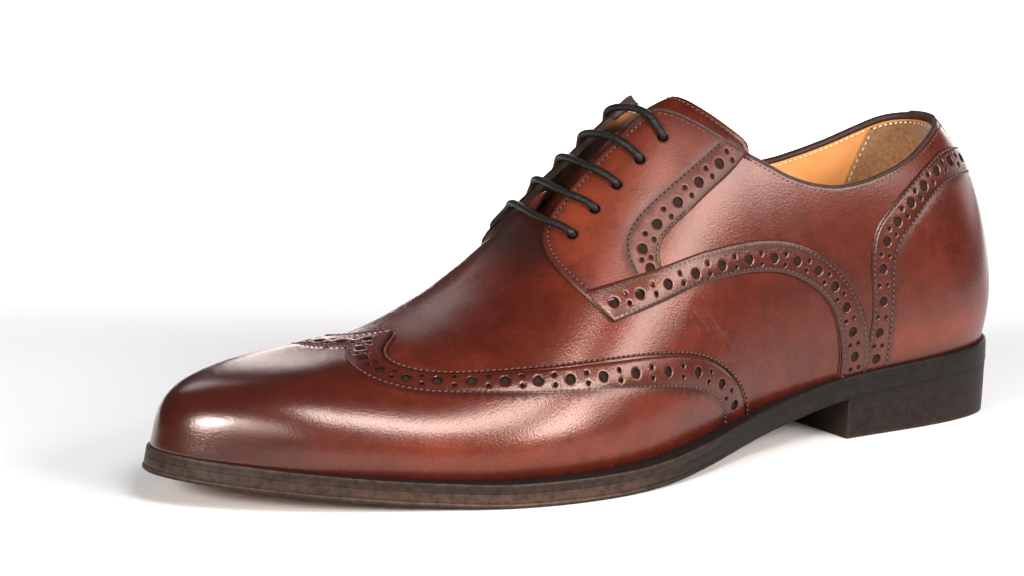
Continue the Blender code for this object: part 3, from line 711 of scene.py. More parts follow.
def panel(name, chart, border, top, under, mats, spacing=2.2, holes=(), rows=(), drop=0.26, relief=None, flip=False,
          dark=(), slot="calf", grime=None, edge_dark=0.85):
    """A cut panel as a closed shell: rounded cut edges, punched holes, stitch grooves.
    top(q), under(q): heights above the last's face. rows: stitch lines. dark: (line, width, strength) darkening:
    burnishing, and painted shade where a caller places it. A mask given for the lining darkens it with painted shade
    and grime."""
    pts, dips, kinds = [], [], []

    def put(q, dip, kind):
        pts.append(np.asarray(q, float))
        dips.append(np.full(len(q), float(dip)))
        kinds.append(np.full(len(q), kind))

    put(border, drop, 1)
    edges = [(i, (i + 1) % len(border)) for i in range(len(border))]
    count = len(border)
    for h in holes:
        for i in range(len(h.c)):
            put(h.ring(i, h.r), 0.16, 2)
            edges += [(count + k, count + (k + 1) % h.n) for k in range(h.n)]
            count += h.n
    fixed = np.vstack(pts)
    soft, soft_dip = [], []
    closed = np.vstack([border[-1:], border, border[:1]])
    for d, dip in ((0.42, 0.03), (1.3, -0.02)):
        ring = aside(chart, closed, d)[1:-1]
        ok = inside(border, ring) & (nearest(ring, border) > 0.6 * d * 0.9)
        soft.append(ring[ok])
        soft_dip.append(np.full(ok.sum(), dip))
    for h in holes:
        for i in range(len(h.c)):
            for dr, dip in ((0.3, -0.02), (0.85, 0.0)):
                soft.append(h.ring(i, h.r + dr))
                soft_dip.append(np.full(h.n, dip))
    for row in rows:
        for d, dip in ((0.0, 0.2), (0.75, 0.0), (-0.75, 0.0)):
            line = row if d == 0 else aside(chart, row, d)
            soft.append(line)
            soft_dip.append(np.full(len(line), dip))
    q, dip = np.vstack(soft), np.concatenate(soft_dip)
    ok = inside(border, q)
    for h in holes:
        ok &= ~h.holds(q)
    q, dip = q[ok], dip[ok]
    keep = nearest(q, fixed) > 0.22
    q, dip = q[keep], dip[keep]
    taken = np.ones(len(q), bool)
    cell = {}
    for i, (a, b) in enumerate(q):
        key = (int(a / 0.3), int(b / 0.3))
        if any((key[0] + k, key[1] + m) in cell and np.hypot(*(q[cell[(key[0] + k, key[1] + m)]] - q[i])) < 0.24
               for k in (-1, 0, 1) for m in (-1, 0, 1)):
            taken[i] = False
        else:
            cell[key] = i
    put(q[taken], 0.0, 0)
    dips[-1] = dip[taken]
    lo, hi = border.min(0), border.max(0)
    gx, gy = np.meshgrid(np.arange(lo[0], hi[0], spacing), np.arange(lo[1], hi[1], spacing * 0.866))
    gx = gx + (np.arange(gx.shape[0]) % 2)[:, None] * spacing / 2
    g = np.stack([gx.ravel(), gy.ravel()], 1)
    g = g[inside(border, g)]
    for h in holes:
        g = g[~h.holds(g)]
    g = g[nearest(g, np.vstack(pts)) > 0.6 * spacing]
    put(g, 0.0, 0)
    q, dip = np.vstack(pts), np.concatenate(dips)
    co, _, tris, origin, _, _ = delaunay_2d_cdt([Vector(v) for v in q], edges, [], 0, 1e-5)
    co = np.array([tuple(v) for v in co])
    dip = np.array([dip[o[0]] if o else drop for o in origin])
    tris = np.array([t for t in tris if len(t) == 3])
    mid = co[tris].mean(1)
    ok = inside(border, mid)
    for h in holes:
        ok &= ~h.holds(mid)
    tris = tris[ok]
    used = np.unique(tris)
    remap = np.full(len(co), -1)
    remap[used] = np.arange(len(used))
    tris, co, dip = remap[tris], co[used], dip[used]
    p, d1, d2, n = place(chart, co)
    a, b, c = co[tris[:, 0]], co[tris[:, 1]], co[tris[:, 2]]
    turn = (b[:, 0] - a[:, 0]) * (c[:, 1] - a[:, 1]) - (b[:, 1] - a[:, 1]) * (c[:, 0] - a[:, 0])
    tris[turn < 0] = tris[turn < 0][:, ::-1]
    height = top(co, p) - (dip if not flip else -dip)
    if relief is not None:
        height = height + relief(co)
    v_top, v_under = p + n * height[:, None], p + n * under(co, p)[:, None]
    m = len(co)
    e = np.concatenate([tris[:, [0, 1]], tris[:, [1, 2]], tris[:, [2, 0]]])
    key = np.sort(e, 1)
    key = key[:, 0] * m + key[:, 1]
    _, first, number = np.unique(key, return_index=True, return_counts=True)
    rim = e[first[number == 1]]
    walls = np.stack([rim[:, 1], rim[:, 0], rim[:, 0] + m, rim[:, 1] + m], 1)
    under_tris = tris[:, ::-1] + m
    faces = tris.tolist() + under_tris.tolist() + walls.tolist()
    if flip:
        faces = [f[::-1] for f in faces]
    face_mat = [0] * len(tris) + [1] * len(tris) + [2] * len(walls)
    burn = global_burnish(p)
    # darker along the cut edges: edge dye, and painted shade where the edge drops away
    on_edge = near3(v_top, place(chart, border)[0])
    burn = np.maximum(burn, edge_dark * np.exp(-(on_edge / 1.3) ** 1.5))
    for h in holes:
        d = near3(p, h.p)
        burn = np.maximum(burn, 0.8 * np.exp(-(np.maximum(d - h.r, 0) / 0.5) ** 1.2))
    for line, width, strength in dark:
        d = near3(p, place(chart, line)[0])
        burn = np.maximum(burn, strength * np.exp(-(d / width) ** 2))
    # painted shade, partly grime, on the lining towards the lacing gap
    shade_and_soil = np.zeros(len(p)) if grime is None else grime(p)
    return make(name, np.vstack([v_top, v_under]), faces, mats, face_mat, slot,
                burnish=np.tile(burn, 2), warm=np.tile(global_warm(p), 2), grime=np.tile(shade_and_soil, 2))


def level(h):
    return lambda q, p: np.full(len(q), float(h))


def puffed(*lines):
    """The bands swell a little between their two stitch rows."""
    mids = np.vstack(lines)
    return lambda q: 0.24 * np.exp(-(nearest(q, mids) / 3.0) ** 2)


# ---------------------------------------------------------------- design lines, lateral side, (x, round the last from the ridge)
THROAT_EDGE = [(172.9, 11.4), (169.5, 10.2), (165.4, 9.5), (159.0, 9.2), (150.8, 9.2), (143.1, 9.2), (139.6, 9.2), (137.2, 9.35),
               (135.1, 9.75), (133.2, 10.5)]
FRONT_EDGE = [(172.9, 11.4), (175.5, 13.6), (177.6, 17.6), (178.8, 23.4), (178.5, 31.5), (176.9, 38.8), (174.7, 46.0), (172.4, 52.2),
              (171.0, 55.4)]
QUARTER_LOW = [(171.0, 55.4), (160.9, 59.6), (149.9, 64.2), (137.2, 68.4), (124.0, 70.8), (110.9, 71.6), (100.3, 73.0),
               (92.7, 75.7), (86.0, 79.6), (81.2, 85.0), (78.7, 92.6), (77.2, 101.0), (76.8, 107.9)]
STRIP_ROW = [(174.3, 43.0), (164.4, 48.0), (153.3, 53.5), (141.6, 58.6), (129.1, 61.9), (116.3, 63.0), (103.6, 63.5), (92.8, 65.6),
             (83.5, 69.7), (76.0, 75.9), (71.3, 82.5), (68.8, 89.3), (67.5, 97.3), (67.2, 105.0)]
STRIP_PUNCH = [(169.0, 50.6), (159.8, 54.9), (148.9, 60.0), (137.7, 64.3), (126.7, 66.6), (115.3, 67.3), (104.9, 67.8),
               (95.7, 69.2), (87.4, 72.2), (80.9, 77.0), (76.4, 83.4), (73.7, 91.2), (72.2, 99.3)]
FACING_EDGE = [(108.6, 33.6), (117.6, 39.6), (127.3, 43.6), (134.7, 45.7), (141.2, 46.4), (146.4, 47.2), (149.0, 49.6),
               (149.5, 53.4), (148.8, 58.0), (148.2, 62.0)]
FACING_ROW = [(115.6, 28.4), (125.2, 32.4), (134.4, 34.7), (143.6, 35.3), (151.4, 35.4), (156.4, 37.2), (158.6, 41.0),
              (158.6, 46.3), (157.6, 53.5)]
FACING_PUNCH = [(120.5, 35.6), (129.6, 38.9), (138.5, 40.8), (147.2, 41.7), (154.2, 44.2), (153.6, 51.2)]
COUNTER_EDGE = [(66.9, 103.6), (66.8, 95.6), (65.5, 87.4), (65.2, 75.5), (65.0, 64.5), (62.6, 57.0), (56.3, 49.3), (46.1, 40.2),
                (34.4, 31.4), (26.5, 26.2), (19.5, 22.4), (13.0, 17.6), (8.2, 11.0), (5.6, 4.0), (5.2, 0.0)]
COUNTER_ROW = [(58.4, 103.6), (58.2, 97.2), (57.9, 86.5), (56.8, 75.2), (56.0, 66.0), (53.0, 59.4), (45.7, 52.0), (34.1, 42.0),
               (21.0, 34.0), (11.0, 28.0), (2.4, 19.6), (-2.6, 9.0), (-3.8, 0.0)]
COUNTER_PUNCH = [(62.9, 99.2), (62.6, 90.4), (61.2, 79.9), (61.0, 69.4), (58.8, 60.2), (53.6, 53.2), (46.6, 46.4), (39.2, 40.0),
                 (31.3, 34.0), (22.4, 28.8), (12.6, 23.2), (4.2, 13.6), (0.6, 0.0)]
WING_EDGE = [(222.4, 5.0), (225.4, 8.4), (229.6, 12.2), (233.4, 16.6), (235.4, 21.6), (234.9, 26.6), (232.4, 30.6), (228.8, 34.4),
             (221.4, 39.9), (205.1, 49.3), (187.2, 58.9), (165.8, 70.9), (149.7, 81.8), (136.6, 92.1), (127.2, 100.7),
             (120.9, 108.5), (117.8, 115.4), (117.2, 118.2)]
WING_ROW = [(238.4, 5.0), (242.0, 10.2), (244.9, 16.6), (245.9, 23.0), (244.6, 29.0), (240.4, 34.8), (233.4, 40.2), (222.0, 47.0),
            (207.7, 55.2), (189.4, 65.3), (167.7, 78.3), (147.6, 93.0), (136.2, 102.6), (129.4, 110.4), (126.6, 117.4)]
WING_PUNCH = [(231.2, 5.0), (237.2, 11.0), (240.7, 18.4), (240.2, 27.4), (235.0, 34.3), (226.9, 39.4), (217.9, 45.0), (208.9, 50.5),
              (199.7, 55.9), (190.2, 61.3), (179.4, 67.4), (167.5, 74.3), (154.5, 83.2), (141.6, 92.6), (131.0, 102.2), (124.0, 111.6)]
WING_AXIS = 5.0     # the wing's point lies a little to the lateral side of the ridge
FINE_CREASES = [[(142.0, 75.5), (140.4, 79.0), (138.6, 82.0)], [(140.2, 74.5), (138.0, 79.5), (135.0, 84.5)],
                [(138.0, 75.0), (135.0, 81.0), (132.0, 86.5)], [(135.5, 77.0), (132.0, 83.0), (129.0, 88.0)],
                [(133.0, 80.0), (130.2, 84.5), (127.6, 88.6)]]
CREASES = [  # line, half width, depth
    ([(138.5, 73.0), (133.4, 80.6), (127.6, 91.0)], 1.5, 0.20), ([(142.6, 75.6), (137.4, 84.1), (133.2, 91.0)], 1.3, 0.14),
    ([(130.4, 76.6), (124.6, 87.0)], 1.4, 0.15), ([(146.0, 79.0), (142.0, 85.6)], 1.2, 0.10),
    ([(196.0, 6.0), (199.0, 16.0), (200.5, 28.0)], 3.2, 0.16), ([(205.0, -14.0), (207.0, -2.0), (208.5, 12.0), (207.0, 24.0)], 3.6, 0.14),
    ([(196.0, -8.0), (198.0, -18.0), (197.0, -30.0)], 3.2, 0.14)]

# heights above the last's face
H_VAMP, H_WING, H_QUARTER, H_FACING, H_STRIP, H_COUNTER, H_BACK = -0.35, 0.5, 0.15, 0.75, 1.25, 0.6, 1.4
UNDER_QUARTER = -1.9


def lift(p):
    """The facings stand a little proud of the vamp at the foot of the lacing; the medial one curls up along its edge,
    is drawn down along its lace holes and flares at its front and its top corner."""
    x = p[:, 0]
    ridge = np.stack([x, ridge_y(x), ridge_z(x)], 1)
    d = np.linalg.norm((p - ridge)[:, 1:], axis=1)
    near = 0.35 * (1 - smooth(8, 30, d)) * smooth(148, 172, x)
    far = 2.9 * (1 - np.clip((d - 7) / 18, 0, 1)) ** 1.35 * smooth(152, 174, x)
    far = far + 2.6 * np.exp(-((d - 27) / 9) ** 2) * smooth(156, 171, x)
    far = far + 1.1 * np.exp(-((x - 131.5) / 5) ** 2) * (1 - smooth(8, 17, d))
    drawn = np.clip((d - 7.5) / 9, 0, 1) ** 1.1 * (1 - smooth(19, 36, d))
    far = far - 2.3 * drawn * smooth(124, 138, x) * (1 - smooth(164, 175, x))
    return near + (far - near) * smooth(-4, 4, ridge[:, 1] - p[:, 1])


def wall_line(points, step=0.8):
    return to_wall(curve(points, step))


# ---- collar: the top line from the lateral corner round the heel to the medial corner
def collar_line(side):
    u = np.linspace(0, float(u_at(133.2, 1)), 260) if side > 0 else np.linspace(1, float(u_at(133.2, -1)), 260)
    u = np.clip(u, 0, 1 - 1e-9)
    lo, hi = np.full(len(u), 2.0), np.full(len(u), 70.0)
    for _ in range(40):
        mid = (lo + hi) / 2
        q = skin(u, mid)
        above = q[:, 2] > collar_z(q[:, 0])
        lo, hi = np.where(above, mid, lo), np.where(above, hi, mid)
    line = np.stack([s_of_u(u), (lo + hi) / 2], 1)
    if side < 0:
        line[0, 0] = 0.0
    return resample(line, 0.8)


collar_lat, collar_med = collar_line(1), collar_line(-1)
throat_lat, front_lat, low_lat = wall_line(THROAT_EDGE), wall_line(FRONT_EDGE), wall_line(QUARTER_LOW)
throat_lat[-1] = collar_lat[-1]
throat_med, front_med, low_med = other_side(throat_lat), other_side(front_lat), other_side(low_lat)
throat_med[:, 1] -= 1.3 * smooth(0, 12, np.arange(len(throat_med)))
throat_med[-1] = collar_med[-1]


def feather(s0, s1, extra=0.6, step=1.0):
    s = np.linspace(s0, s1, max(2, int(abs(s1 - s0) / step)))
    return np.stack([s, length_to_welt(u_of_s(s)) + extra], 1)


def eyelet_at(row, side):
    """Lace hole's place in the wall chart."""
    x, off = EYELETS[row - 1]
    u = float(u_at(x, side))
    f = outline(u)[0]
    c = np.array([ridge_x(f[0]), ridge_y(ridge_x(f[0]))])
    t = math.acos(min(1.0, off / np.linalg.norm(f - c)) ** (float(full_across(f[0])) / 2))
    return np.array([float(s_of_u(u)), l_of(u, t)])


eyelets = {(r, s): eyelet_at(r, s) for r in range(1, 6) for s in (1, -1)}


def pairs(chart, centres, spread=1.65, ends=(True, True)):
    """Two small punchings side by side between each two large ones, and past the ends."""
    c = np.asarray(centres, float)
    mids = list((c[1:] + c[:-1]) / 2)
    runs = list(c[1:] - c[:-1])
    if ends[0]:
        mids.insert(0, c[0] - (c[1] - c[0]) / 2)
        runs.insert(0, c[1] - c[0])
    if ends[1]:
        mids.append(c[-1] + (c[-1] - c[-2]) / 2)
        runs.append(c[-1] - c[-2])
    mids, runs = np.array(mids), np.array(runs)
    p, d1, d2, n = place(chart, mids)
    t = d1 * runs[:, :1] + d2 * runs[:, 1:]
    t /= np.linalg.norm(t, axis=1)[:, None]
    step = shift(d1, d2, np.cross(n, t) * spread)
    return np.vstack([mids + step, mids - step])


LARGE, SMALL = 1.62, 0.72
stitches = []      # (chart, line, height, pitch) rows of the dark thread
punch_shade_floors = []   # (points, normals, radius): dark discs, painted shade in the punchings


# each punching gets a dark disc on the layer beneath: painted shade
def note_punch(chart, holes, height):
    punch_shade_floors.append((holes.p + holes.normal * height, holes.normal, holes.r + 0.12))


def sew(chart, line, height, pitch=1.85):
    stitches.append((chart, line, height, pitch, 1))


# ---------------------------------------------------------------- vamp, from the toe to behind the counter's edge
def flat_feather(u0, u1, extra=0.6, count=420):
    u = np.linspace(u0, u1, count)
    return Flat.of(u, length_to_welt(u) + extra)


def crease_relief(q):
    out = np.zeros(len(q))
    for line, width, depth in CREASES:
        c = curve(line, 0.6)
        d = nearest(q, c)
        ends = np.minimum(nearest(q, c[:1]), nearest(q, c[-1:]))
        out += (-np.exp(-(d / width) ** 2) + 0.45 * np.exp(-((d - 2.1 * width) / width) ** 2)) * depth * smooth(0, 5, ends + 1.0)
    return out


VAMP_REAR = [(63.0, 104.0), (68.0, 92.0), (74.0, 80.0), (84.0, 70.0), (100.0, 63.0), (125.0, 60.5), (148.0, 55.0), (163.0, 44.0),
             (170.0, 30.0), (171.5, 14.0), (171.5, 0.0)]
rear_lat = curve(VAMP_REAR, 1.6)
wall_rear = to_wall(rear_lat[:-1])
rear_med = np.vstack([Flat.of(*Wall.ul(other_side(wall_rear))), [[171.5, -0.01]]])
u_a, u_b = float(Flat.ul(rear_lat[:1])[0][0]), float(Flat.ul(rear_med[:1])[0][0])
vamp_border = loop(rear_lat[::-1][:-1], resample(flat_feather(u_a, u_b), 1.4), rear_med[1:-1])
# a wide dark line round the throat darkens the vamp beside and under the facings: painted shade, partly burnish
vamp = panel("vamp", Flat, vamp_border, level(H_VAMP), level(-1.5), [CALF, LINING, CUT], 2.3, rows=[curve(c, 0.6) for c in FINE_CREASES], drop=0.3,
             relief=crease_relief, edge_dark=0.3,
             dark=[(curve([(178, 13), (178.5, 4), (178, -8), (176, -22), (173, -36)]), 15.0, 0.95)])
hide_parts("upper")

# ---------------------------------------------------------------- wing cap
lat_l, med_l = (lambda x: length_to_welt(u_at(x, 1))), (lambda x: length_to_welt(u_at(x, -1)))


def wing_other(q):
    q = np.asarray(q, float)
    a = smooth(187, 215, q[:, 0])
    return np.stack([q[:, 0], a * (2 * WING_AXIS - q[:, 1]) - (1 - a) * q[:, 1] / lat_l(q[:, 0]) * med_l(q[:, 0])], 1)


wing_lat, wing_row_lat = curve(WING_EDGE), curve(WING_ROW)
wing_med, wing_row_med = wing_other(wing_lat), wing_other(wing_row_lat)
u_a, u_b = float(Flat.ul(wing_lat[-1:])[0][0]), float(Flat.ul(wing_med[-1:])[0][0])
wing_border = loop(wing_lat, resample(flat_feather(u_a, u_b), 1.2), wing_med[::-1])
punch_lat = np.array(WING_PUNCH)
punch_med = wing_other(punch_lat[1:])
big = Holes(Flat, np.vstack([punch_lat, punch_med]), LARGE, 20)
small = Holes(Flat, np.vstack([pairs(Flat, punch_lat, ends=(False, False)),
                               pairs(Flat, np.vstack([punch_lat[:1], punch_med]), ends=(False, False))]), SMALL, 12)
wing_out_lat, wing_out_med = aside(Flat, wing_lat, 1.15), aside(Flat, wing_med, -1.15)
row_in = loop(wing_row_lat[::-1], wing_row_med)
wing_rows = [wing_row_lat, wing_row_med, wing_out_lat[3:], wing_out_med[3:]]
wing = panel("wing_cap", Flat, wing_border, level(H_WING), level(H_VAMP + 0.06), [CALF, CALF, CUT], 2.2, [big, small], wing_rows,
             dark=[(r, 1.6, 0.85) for r in wing_rows] + [(curve(punch_lat, 1.0), 3.0, 0.4), (wing_other(curve(punch_lat, 1.0)), 3.0, 0.4)], relief=puffed(curve(punch_lat, 1.0), wing_other(curve(punch_lat, 1.0))))
for r in wing_rows:
    sew(Flat, r, H_WING)
for h in (big, small):
    note_punch(Flat, h, H_VAMP + 0.12)

# ---------------------------------------------------------------- quarters, both sides and round the heel, with their lining
quarter_border = loop(throat_lat, collar_lat[::-1], collar_med[1:], throat_med[::-1], front_med, low_med,
                      feather(low_med[-1, 0], low_lat[-1, 0]), low_lat[::-1], front_lat[::-1])
eye_q = Holes(Wall, [eyelets[k] for k in eyelets], 1.95, 16)


def throat_shade_and_soil(p):
    """Painted shade, partly grime: the lining darkens towards the lacing gap, less so at the top."""
    throat = np.vstack([place(Wall, throat_lat)[0], place(Wall, throat_med)[0]])
    return 0.97 * (1 - smooth(12, 30, near3(p, throat))) * (1 - 0.8 * smooth(102, 109, p[:, 2]))


quarters = panel("quarters", Wall, quarter_border, lambda q, p: H_QUARTER + lift(p), lambda q, p: UNDER_QUARTER + lift(p),
                 [CALF, LINING, FLESH], 2.3, [eye_q], grime=throat_shade_and_soil)

# ---------------------------------------------------------------- facings
facing_rows, facing_punch = {}, []
for side, tag in ((1, "lat"), (-1, "med")):
    def here(q):
        return q if side > 0 else other_side(q)
    col = collar_lat if side > 0 else collar_med
    throat, front = (throat_lat, front_lat) if side > 0 else (throat_med, front_med)
    edge = here(wall_line(FACING_EDGE))
    # the facing's foot runs on under the strip
    foot = here(wall_line([(172.6, 48.0), (164.0, 52.0), (156.0, 55.6), (149.4, 58.4)]))
    i0 = int(np.argmin(np.linalg.norm(col - edge[0], axis=1)))
    j1 = int(np.argmin(np.linalg.norm(front - foot[0], axis=1)))
    k1 = int(np.argmin(np.linalg.norm(edge - foot[-1], axis=1)))
    border = loop(col[i0:], throat[::-1], front[:j1], foot, edge[:k1 + 1][::-1])
    row, out_row = here(wall_line(FACING_ROW)), aside(Wall, edge, 1.1 * side)
    if nearest(out_row[10:20], row).mean() > nearest(edge[10:20], row).mean():
        out_row = aside(Wall, edge, -1.1 * side)
    rim = np.vstack([throat[::-1], front[1:j1 + 1]])
    rim_row = aside(Wall, rim, 1.9)
    if not inside(border, rim_row[20:21])[0]:
        rim_row = aside(Wall, rim, -1.9)
    rim_row = resample(rim_row[6:-2], 1.0)
    facing_rows[side] = rim_row
    centres = here(to_wall(FACING_PUNCH))
    big = Holes(Wall, centres, LARGE, 20)
    small = Holes(Wall, pairs(Wall, centres, ends=(True, False)), SMALL, 12)
    eye = Holes(Wall, [eyelets[(r, side)] for r in range(1, 6)], 1.6, 18)
    rows = [row[:-6], out_row[2:-8], rim_row]
    facing = panel("facing_" + tag, Wall, border, lambda q, p: H_FACING + lift(p), lambda q, p: H_QUARTER + lift(p) + 0.05,
                   [CALF_FACING, CALF_FACING, CUT], 2.2, [big, small, eye], rows,
                   dark=[(r, 1.6, 0.85) for r in rows[:2]] + [(rows[2], 0.9, 0.6), (here(wall_line(FACING_PUNCH, 1.0)), 3.0, 0.3)],
                   relief=puffed(here(wall_line(FACING_PUNCH, 1.0))))
    for r in rows:
        sew(Wall, r, lambda p: H_FACING + lift(p))
    for h in (big, small):
        note_punch(Wall, h, H_QUARTER + 0.12)

# ---------------------------------------------------------------- strips along the quarters' lower edge
for side, tag in ((1, "lat"), (-1, "med")):
    def here(q):
        return q if side > 0 else other_side(q)
    row_l = wall_line(STRIP_ROW)
    up_l = aside(Wall, row_l, 1.4)
    if up_l[40, 1] > row_l[40, 1]:
        up_l = aside(Wall, row_l, -1.4)
    low, up, row, front = here(low_lat), here(up_l), here(row_l), here(front_lat)
    j = int(np.argmin(np.linalg.norm(front - up[0], axis=1)))
    end = np.stack([np.linspace(up[-1, 0], low[-1, 0], 8), length_to_welt(u_of_s(np.linspace(up[-1, 0], low[-1, 0], 8))) + 0.5], 1)
    border = loop(low, end[::-1], up[::-1], front[j:])
    low_row = aside(Wall, low, 1.1)
    if not inside(border, low_row[30:31])[0]:
        low_row = aside(Wall, low, -1.1)
    centres = here(to_wall(STRIP_PUNCH))
    big = Holes(Wall, centres, LARGE, 20)
    small = Holes(Wall, pairs(Wall, centres, ends=(False, True)), SMALL, 12)
    rows = [row[2:], low_row[2:]]

    def strip_top(q, p):
        return H_STRIP - 0.5 * (1 - smooth(140, 158, p[:, 0])) + lift(p)
    strip = panel("strip_" + tag, Wall, border, strip_top, lambda q, p: np.full(len(q), H_QUARTER + 0.04), [CALF, CALF, CUT], 2.0,
                  [big, small], rows, dark=[(r, 1.6, 0.88) for r in rows] + [(here(wall_line(STRIP_PUNCH, 1.0)), 3.0, 0.35)],
                  relief=puffed(here(wall_line(STRIP_PUNCH, 1.0))))
    for r in rows:
        sew(Wall, r, lambda p: strip_top(None, p))
    for h in (big, small):
        note_punch(Wall, h, H_QUARTER + 0.15)

# ---------------------------------------------------------------- counter round the heel, and the back strip
edge_l, row_l = wall_line(COUNTER_EDGE), wall_line(COUNTER_ROW)
edge_l[-1, 0] = row_l[-1, 0] = 0.0
edge_m, row_m = other_side(edge_l), other_side(row_l)
border = loop(edge_l, edge_m[::-1][1:], feather(edge_m[0, 0], edge_l[0, 0]))
centres_l = to_wall(COUNTER_PUNCH)
centres_l[-1, 0] = 0.0
centres = np.vstack([centres_l, other_side(centres_l[:-1])[::-1]])
big, small = Holes(Wall, centres, LARGE, 20), Holes(Wall, pairs(Wall, centres), SMALL, 12)
whole_row = np.vstack([row_l, row_m[::-1][1:]])
whole_edge = np.vstack([edge_l, edge_m[::-1][1:]])
edge_row = aside(Wall, whole_edge, 0.95)
if not inside(border, edge_row[60:61])[0]:
    edge_row = aside(Wall, whole_edge, -0.95)
rows = [whole_row[3:-3], edge_row[3:-3]]
counter = panel("counter", Wall, border, level(H_COUNTER), level(H_QUARTER + 0.04), [CALF, CALF, CUT], 2.2, [big, small], rows,
                dark=[(r, 1.6, 0.85) for r in rows] + [(wall_line(COUNTER_PUNCH, 1.0), 3.0, 0.35), (other_side(wall_line(COUNTER_PUNCH, 1.0)), 3.0, 0.35)],
                relief=puffed(wall_line(COUNTER_PUNCH, 1.0), other_side(wall_line(COUNTER_PUNCH, 1.0))))
for r in rows:
    sew(Wall, r, H_COUNTER)
for h in (big, small):
    note_punch(Wall, h, H_QUARTER + 0.1)

lengths = np.linspace(float(collar_lat[0, 1]), 48.0, 44)
scale = np.linalg.norm(place(Wall, np.stack([np.zeros(44), lengths], 1))[1], axis=1)
width = np.interp(lengths, [17, 30, 44, 46.6, 47.6, 48.0], [6.4, 6.2, 5.8, 4.4, 2.6, 0.0])
half = np.stack([width / scale, lengths], 1)
rim_top = np.stack([np.linspace(0, half[0, 0], 10)[:-1], np.interp(np.linspace(0, half[0, 0], 10)[:-1], *collar_lat[:60].T)], 1)
half[0, 1] = float(np.interp(half[0, 0], *collar_lat[:60].T))
border = loop(rim_top, half, (half * [-1, 1])[::-1][1:], (rim_top * [-1, 1])[::-1][:-1])
side_row = np.stack([(width - 1.4) / scale, lengths], 1)[3:-8]
back_rows = [side_row, side_row * [-1, 1]]


def back_height(p):
    return H_BACK - 0.45 * smooth(84, 92, p[:, 2])


back_strip = panel("back_strip", Wall, border, lambda q, p: back_height(p), level(H_QUARTER + 0.04),
                   [CALF, CALF, CUT], 1.8, rows=back_rows, dark=[(np.array([(0, 18.), (0, 24.), (0, 30.), (0, 36.), (0, 42.), (0, 47.)]), 9.0, 0.8)])
for r in back_rows:
    sew(Wall, r, back_height)

# ---------------------------------------------------------------- collar: bound edge, stitch row below it
collar = np.vstack([collar_lat[::-1], collar_med[1:]])
top_line = np.vstack([throat_lat[-14:-1], collar, throat_med[-14:-1][::-1]])
top_line = resample(top_line, 1.0)


def outside_height(p):
    """Height of the outermost leather along the collar."""
    facing = smooth(107.5, 110.5, p[:, 0])
    back = (1 - smooth(6.0, 7.0, np.abs(p[:, 1]))) * (p[:, 0] < 60)
    return H_QUARTER + (H_FACING - H_QUARTER) * facing + (H_BACK - 0.45 - H_QUARTER) * back + lift(p)


def ribbon(name, chart, line, profile, mats, slot, out=None, close=False):
    """Closed moulding swept along a line of the leather: profile of (height above the face, distance down from the line)."""
    p, d1, d2, n = place(chart, line)
    g = np.gradient(line, axis=0)
    t = d1 * g[:, :1] + d2 * g[:, 1:]
    t /= np.linalg.norm(t, axis=1)[:, None]
    down = np.cross(n, t)
    if down[len(down) // 3, 2] > 0:
        down = -down
    extra = np.zeros(len(line)) if out is None else out(p)
    grid = np.stack([p + n * (h + extra * share)[:, None] + down * d for h, d, share in profile], 1)
    m, k = grid.shape[:2]
    faces = [(i * k + j, i * k + (j + 1) % k, (i + 1) * k + (j + 1) % k, (i + 1) * k + j) for i in range(m - 1) for j in range(k)]
    caps = [list(range(k)), list(range((m - 1) * k, m * k))[::-1]]
    v = grid.reshape(-1, 3)
    f0 = faces[0]
    centre = grid[0].mean(0)
    nn = np.cross(v[f0[1]] - v[f0[0]], v[f0[2]] - v[f0[0]])
    if nn @ (v[list(f0)].mean(0) - (centre + grid[1].mean(0)) / 2) < 0:
        faces, caps = [f[::-1] for f in faces], [c[::-1] for c in caps]
    return make(name, v, faces + caps, mats, None, slot, burnish=np.full(len(v), 0.7), warm=np.zeros(len(v)))


# height, distance below the edge, share of the outer leather's own height
BIND = [(0.03, 0.7, 1), (0.16, 0.35, 1), (0.15, -0.1, 1), (-0.1, -0.38, 0.7), (-0.7, -0.5, 0.4), (-1.35, -0.46, 0.1), (-1.8, -0.2, 0),
        (-2.02, 0.2, 0), (-2.06, 0.6, 0), (-1.98, 0.9, 0), (-1.7, 0.8, 0), (-1.55, 0.3, 0), (-0.4, 0.3, 0.4)]
binding = ribbon("collar_binding", Wall, top_line, BIND, [BINDING], "calf", outside_height)
down_row = aside(Wall, collar, 1.75)
if down_row[100, 1] < collar[100, 1]:
    down_row = aside(Wall, collar, -1.75)
for part in (down_row[(down_row[:, 0] > 15.0)], down_row[(down_row[:, 0] < -15.0)]):
    sew(Wall, part, outside_height)

# ---------------------------------------------------------------- heel grip inside, with its seam
grip_l = curve([(43.0, 24.6), (46.5, 34.0), (51.0, 48.0), (55.0, 64.0), (58.0, 80.0), (59.0, 90.0)], 1.0)
grip_m = grip_l * [-1, 1]
top_part = collar[(collar[:, 0] < grip_l[0, 0]) & (collar[:, 0] > grip_m[0, 0])]
grip_top = aside(Wall, top_part, 1.6)
if grip_top[20, 1] < top_part[20, 1]:
    grip_top = aside(Wall, top_part, -1.6)
bottom = np.stack([np.linspace(grip_m[-1, 0], grip_l[-1, 0], 90), np.full(90, 90.0)], 1)
border = loop(grip_top[::-1], grip_l, bottom[::-1], grip_m[::-1])
grip = panel("heel_grip", Wall, border, level(-2.55), level(-1.85), [GRIP, GRIP, GRIP], 2.6, flip=True, slot="lining")
cream = []
for g in (grip_l, grip_m):
    q = aside(Wall, g, 1.2)
    if abs(q[20, 0]) > abs(g[20, 0]):
        q = aside(Wall, g, -1.2)
    cream.append((Wall, q[2:], -2.62, 2.4, -1))
inner_row = aside(Wall, collar, 2.1)
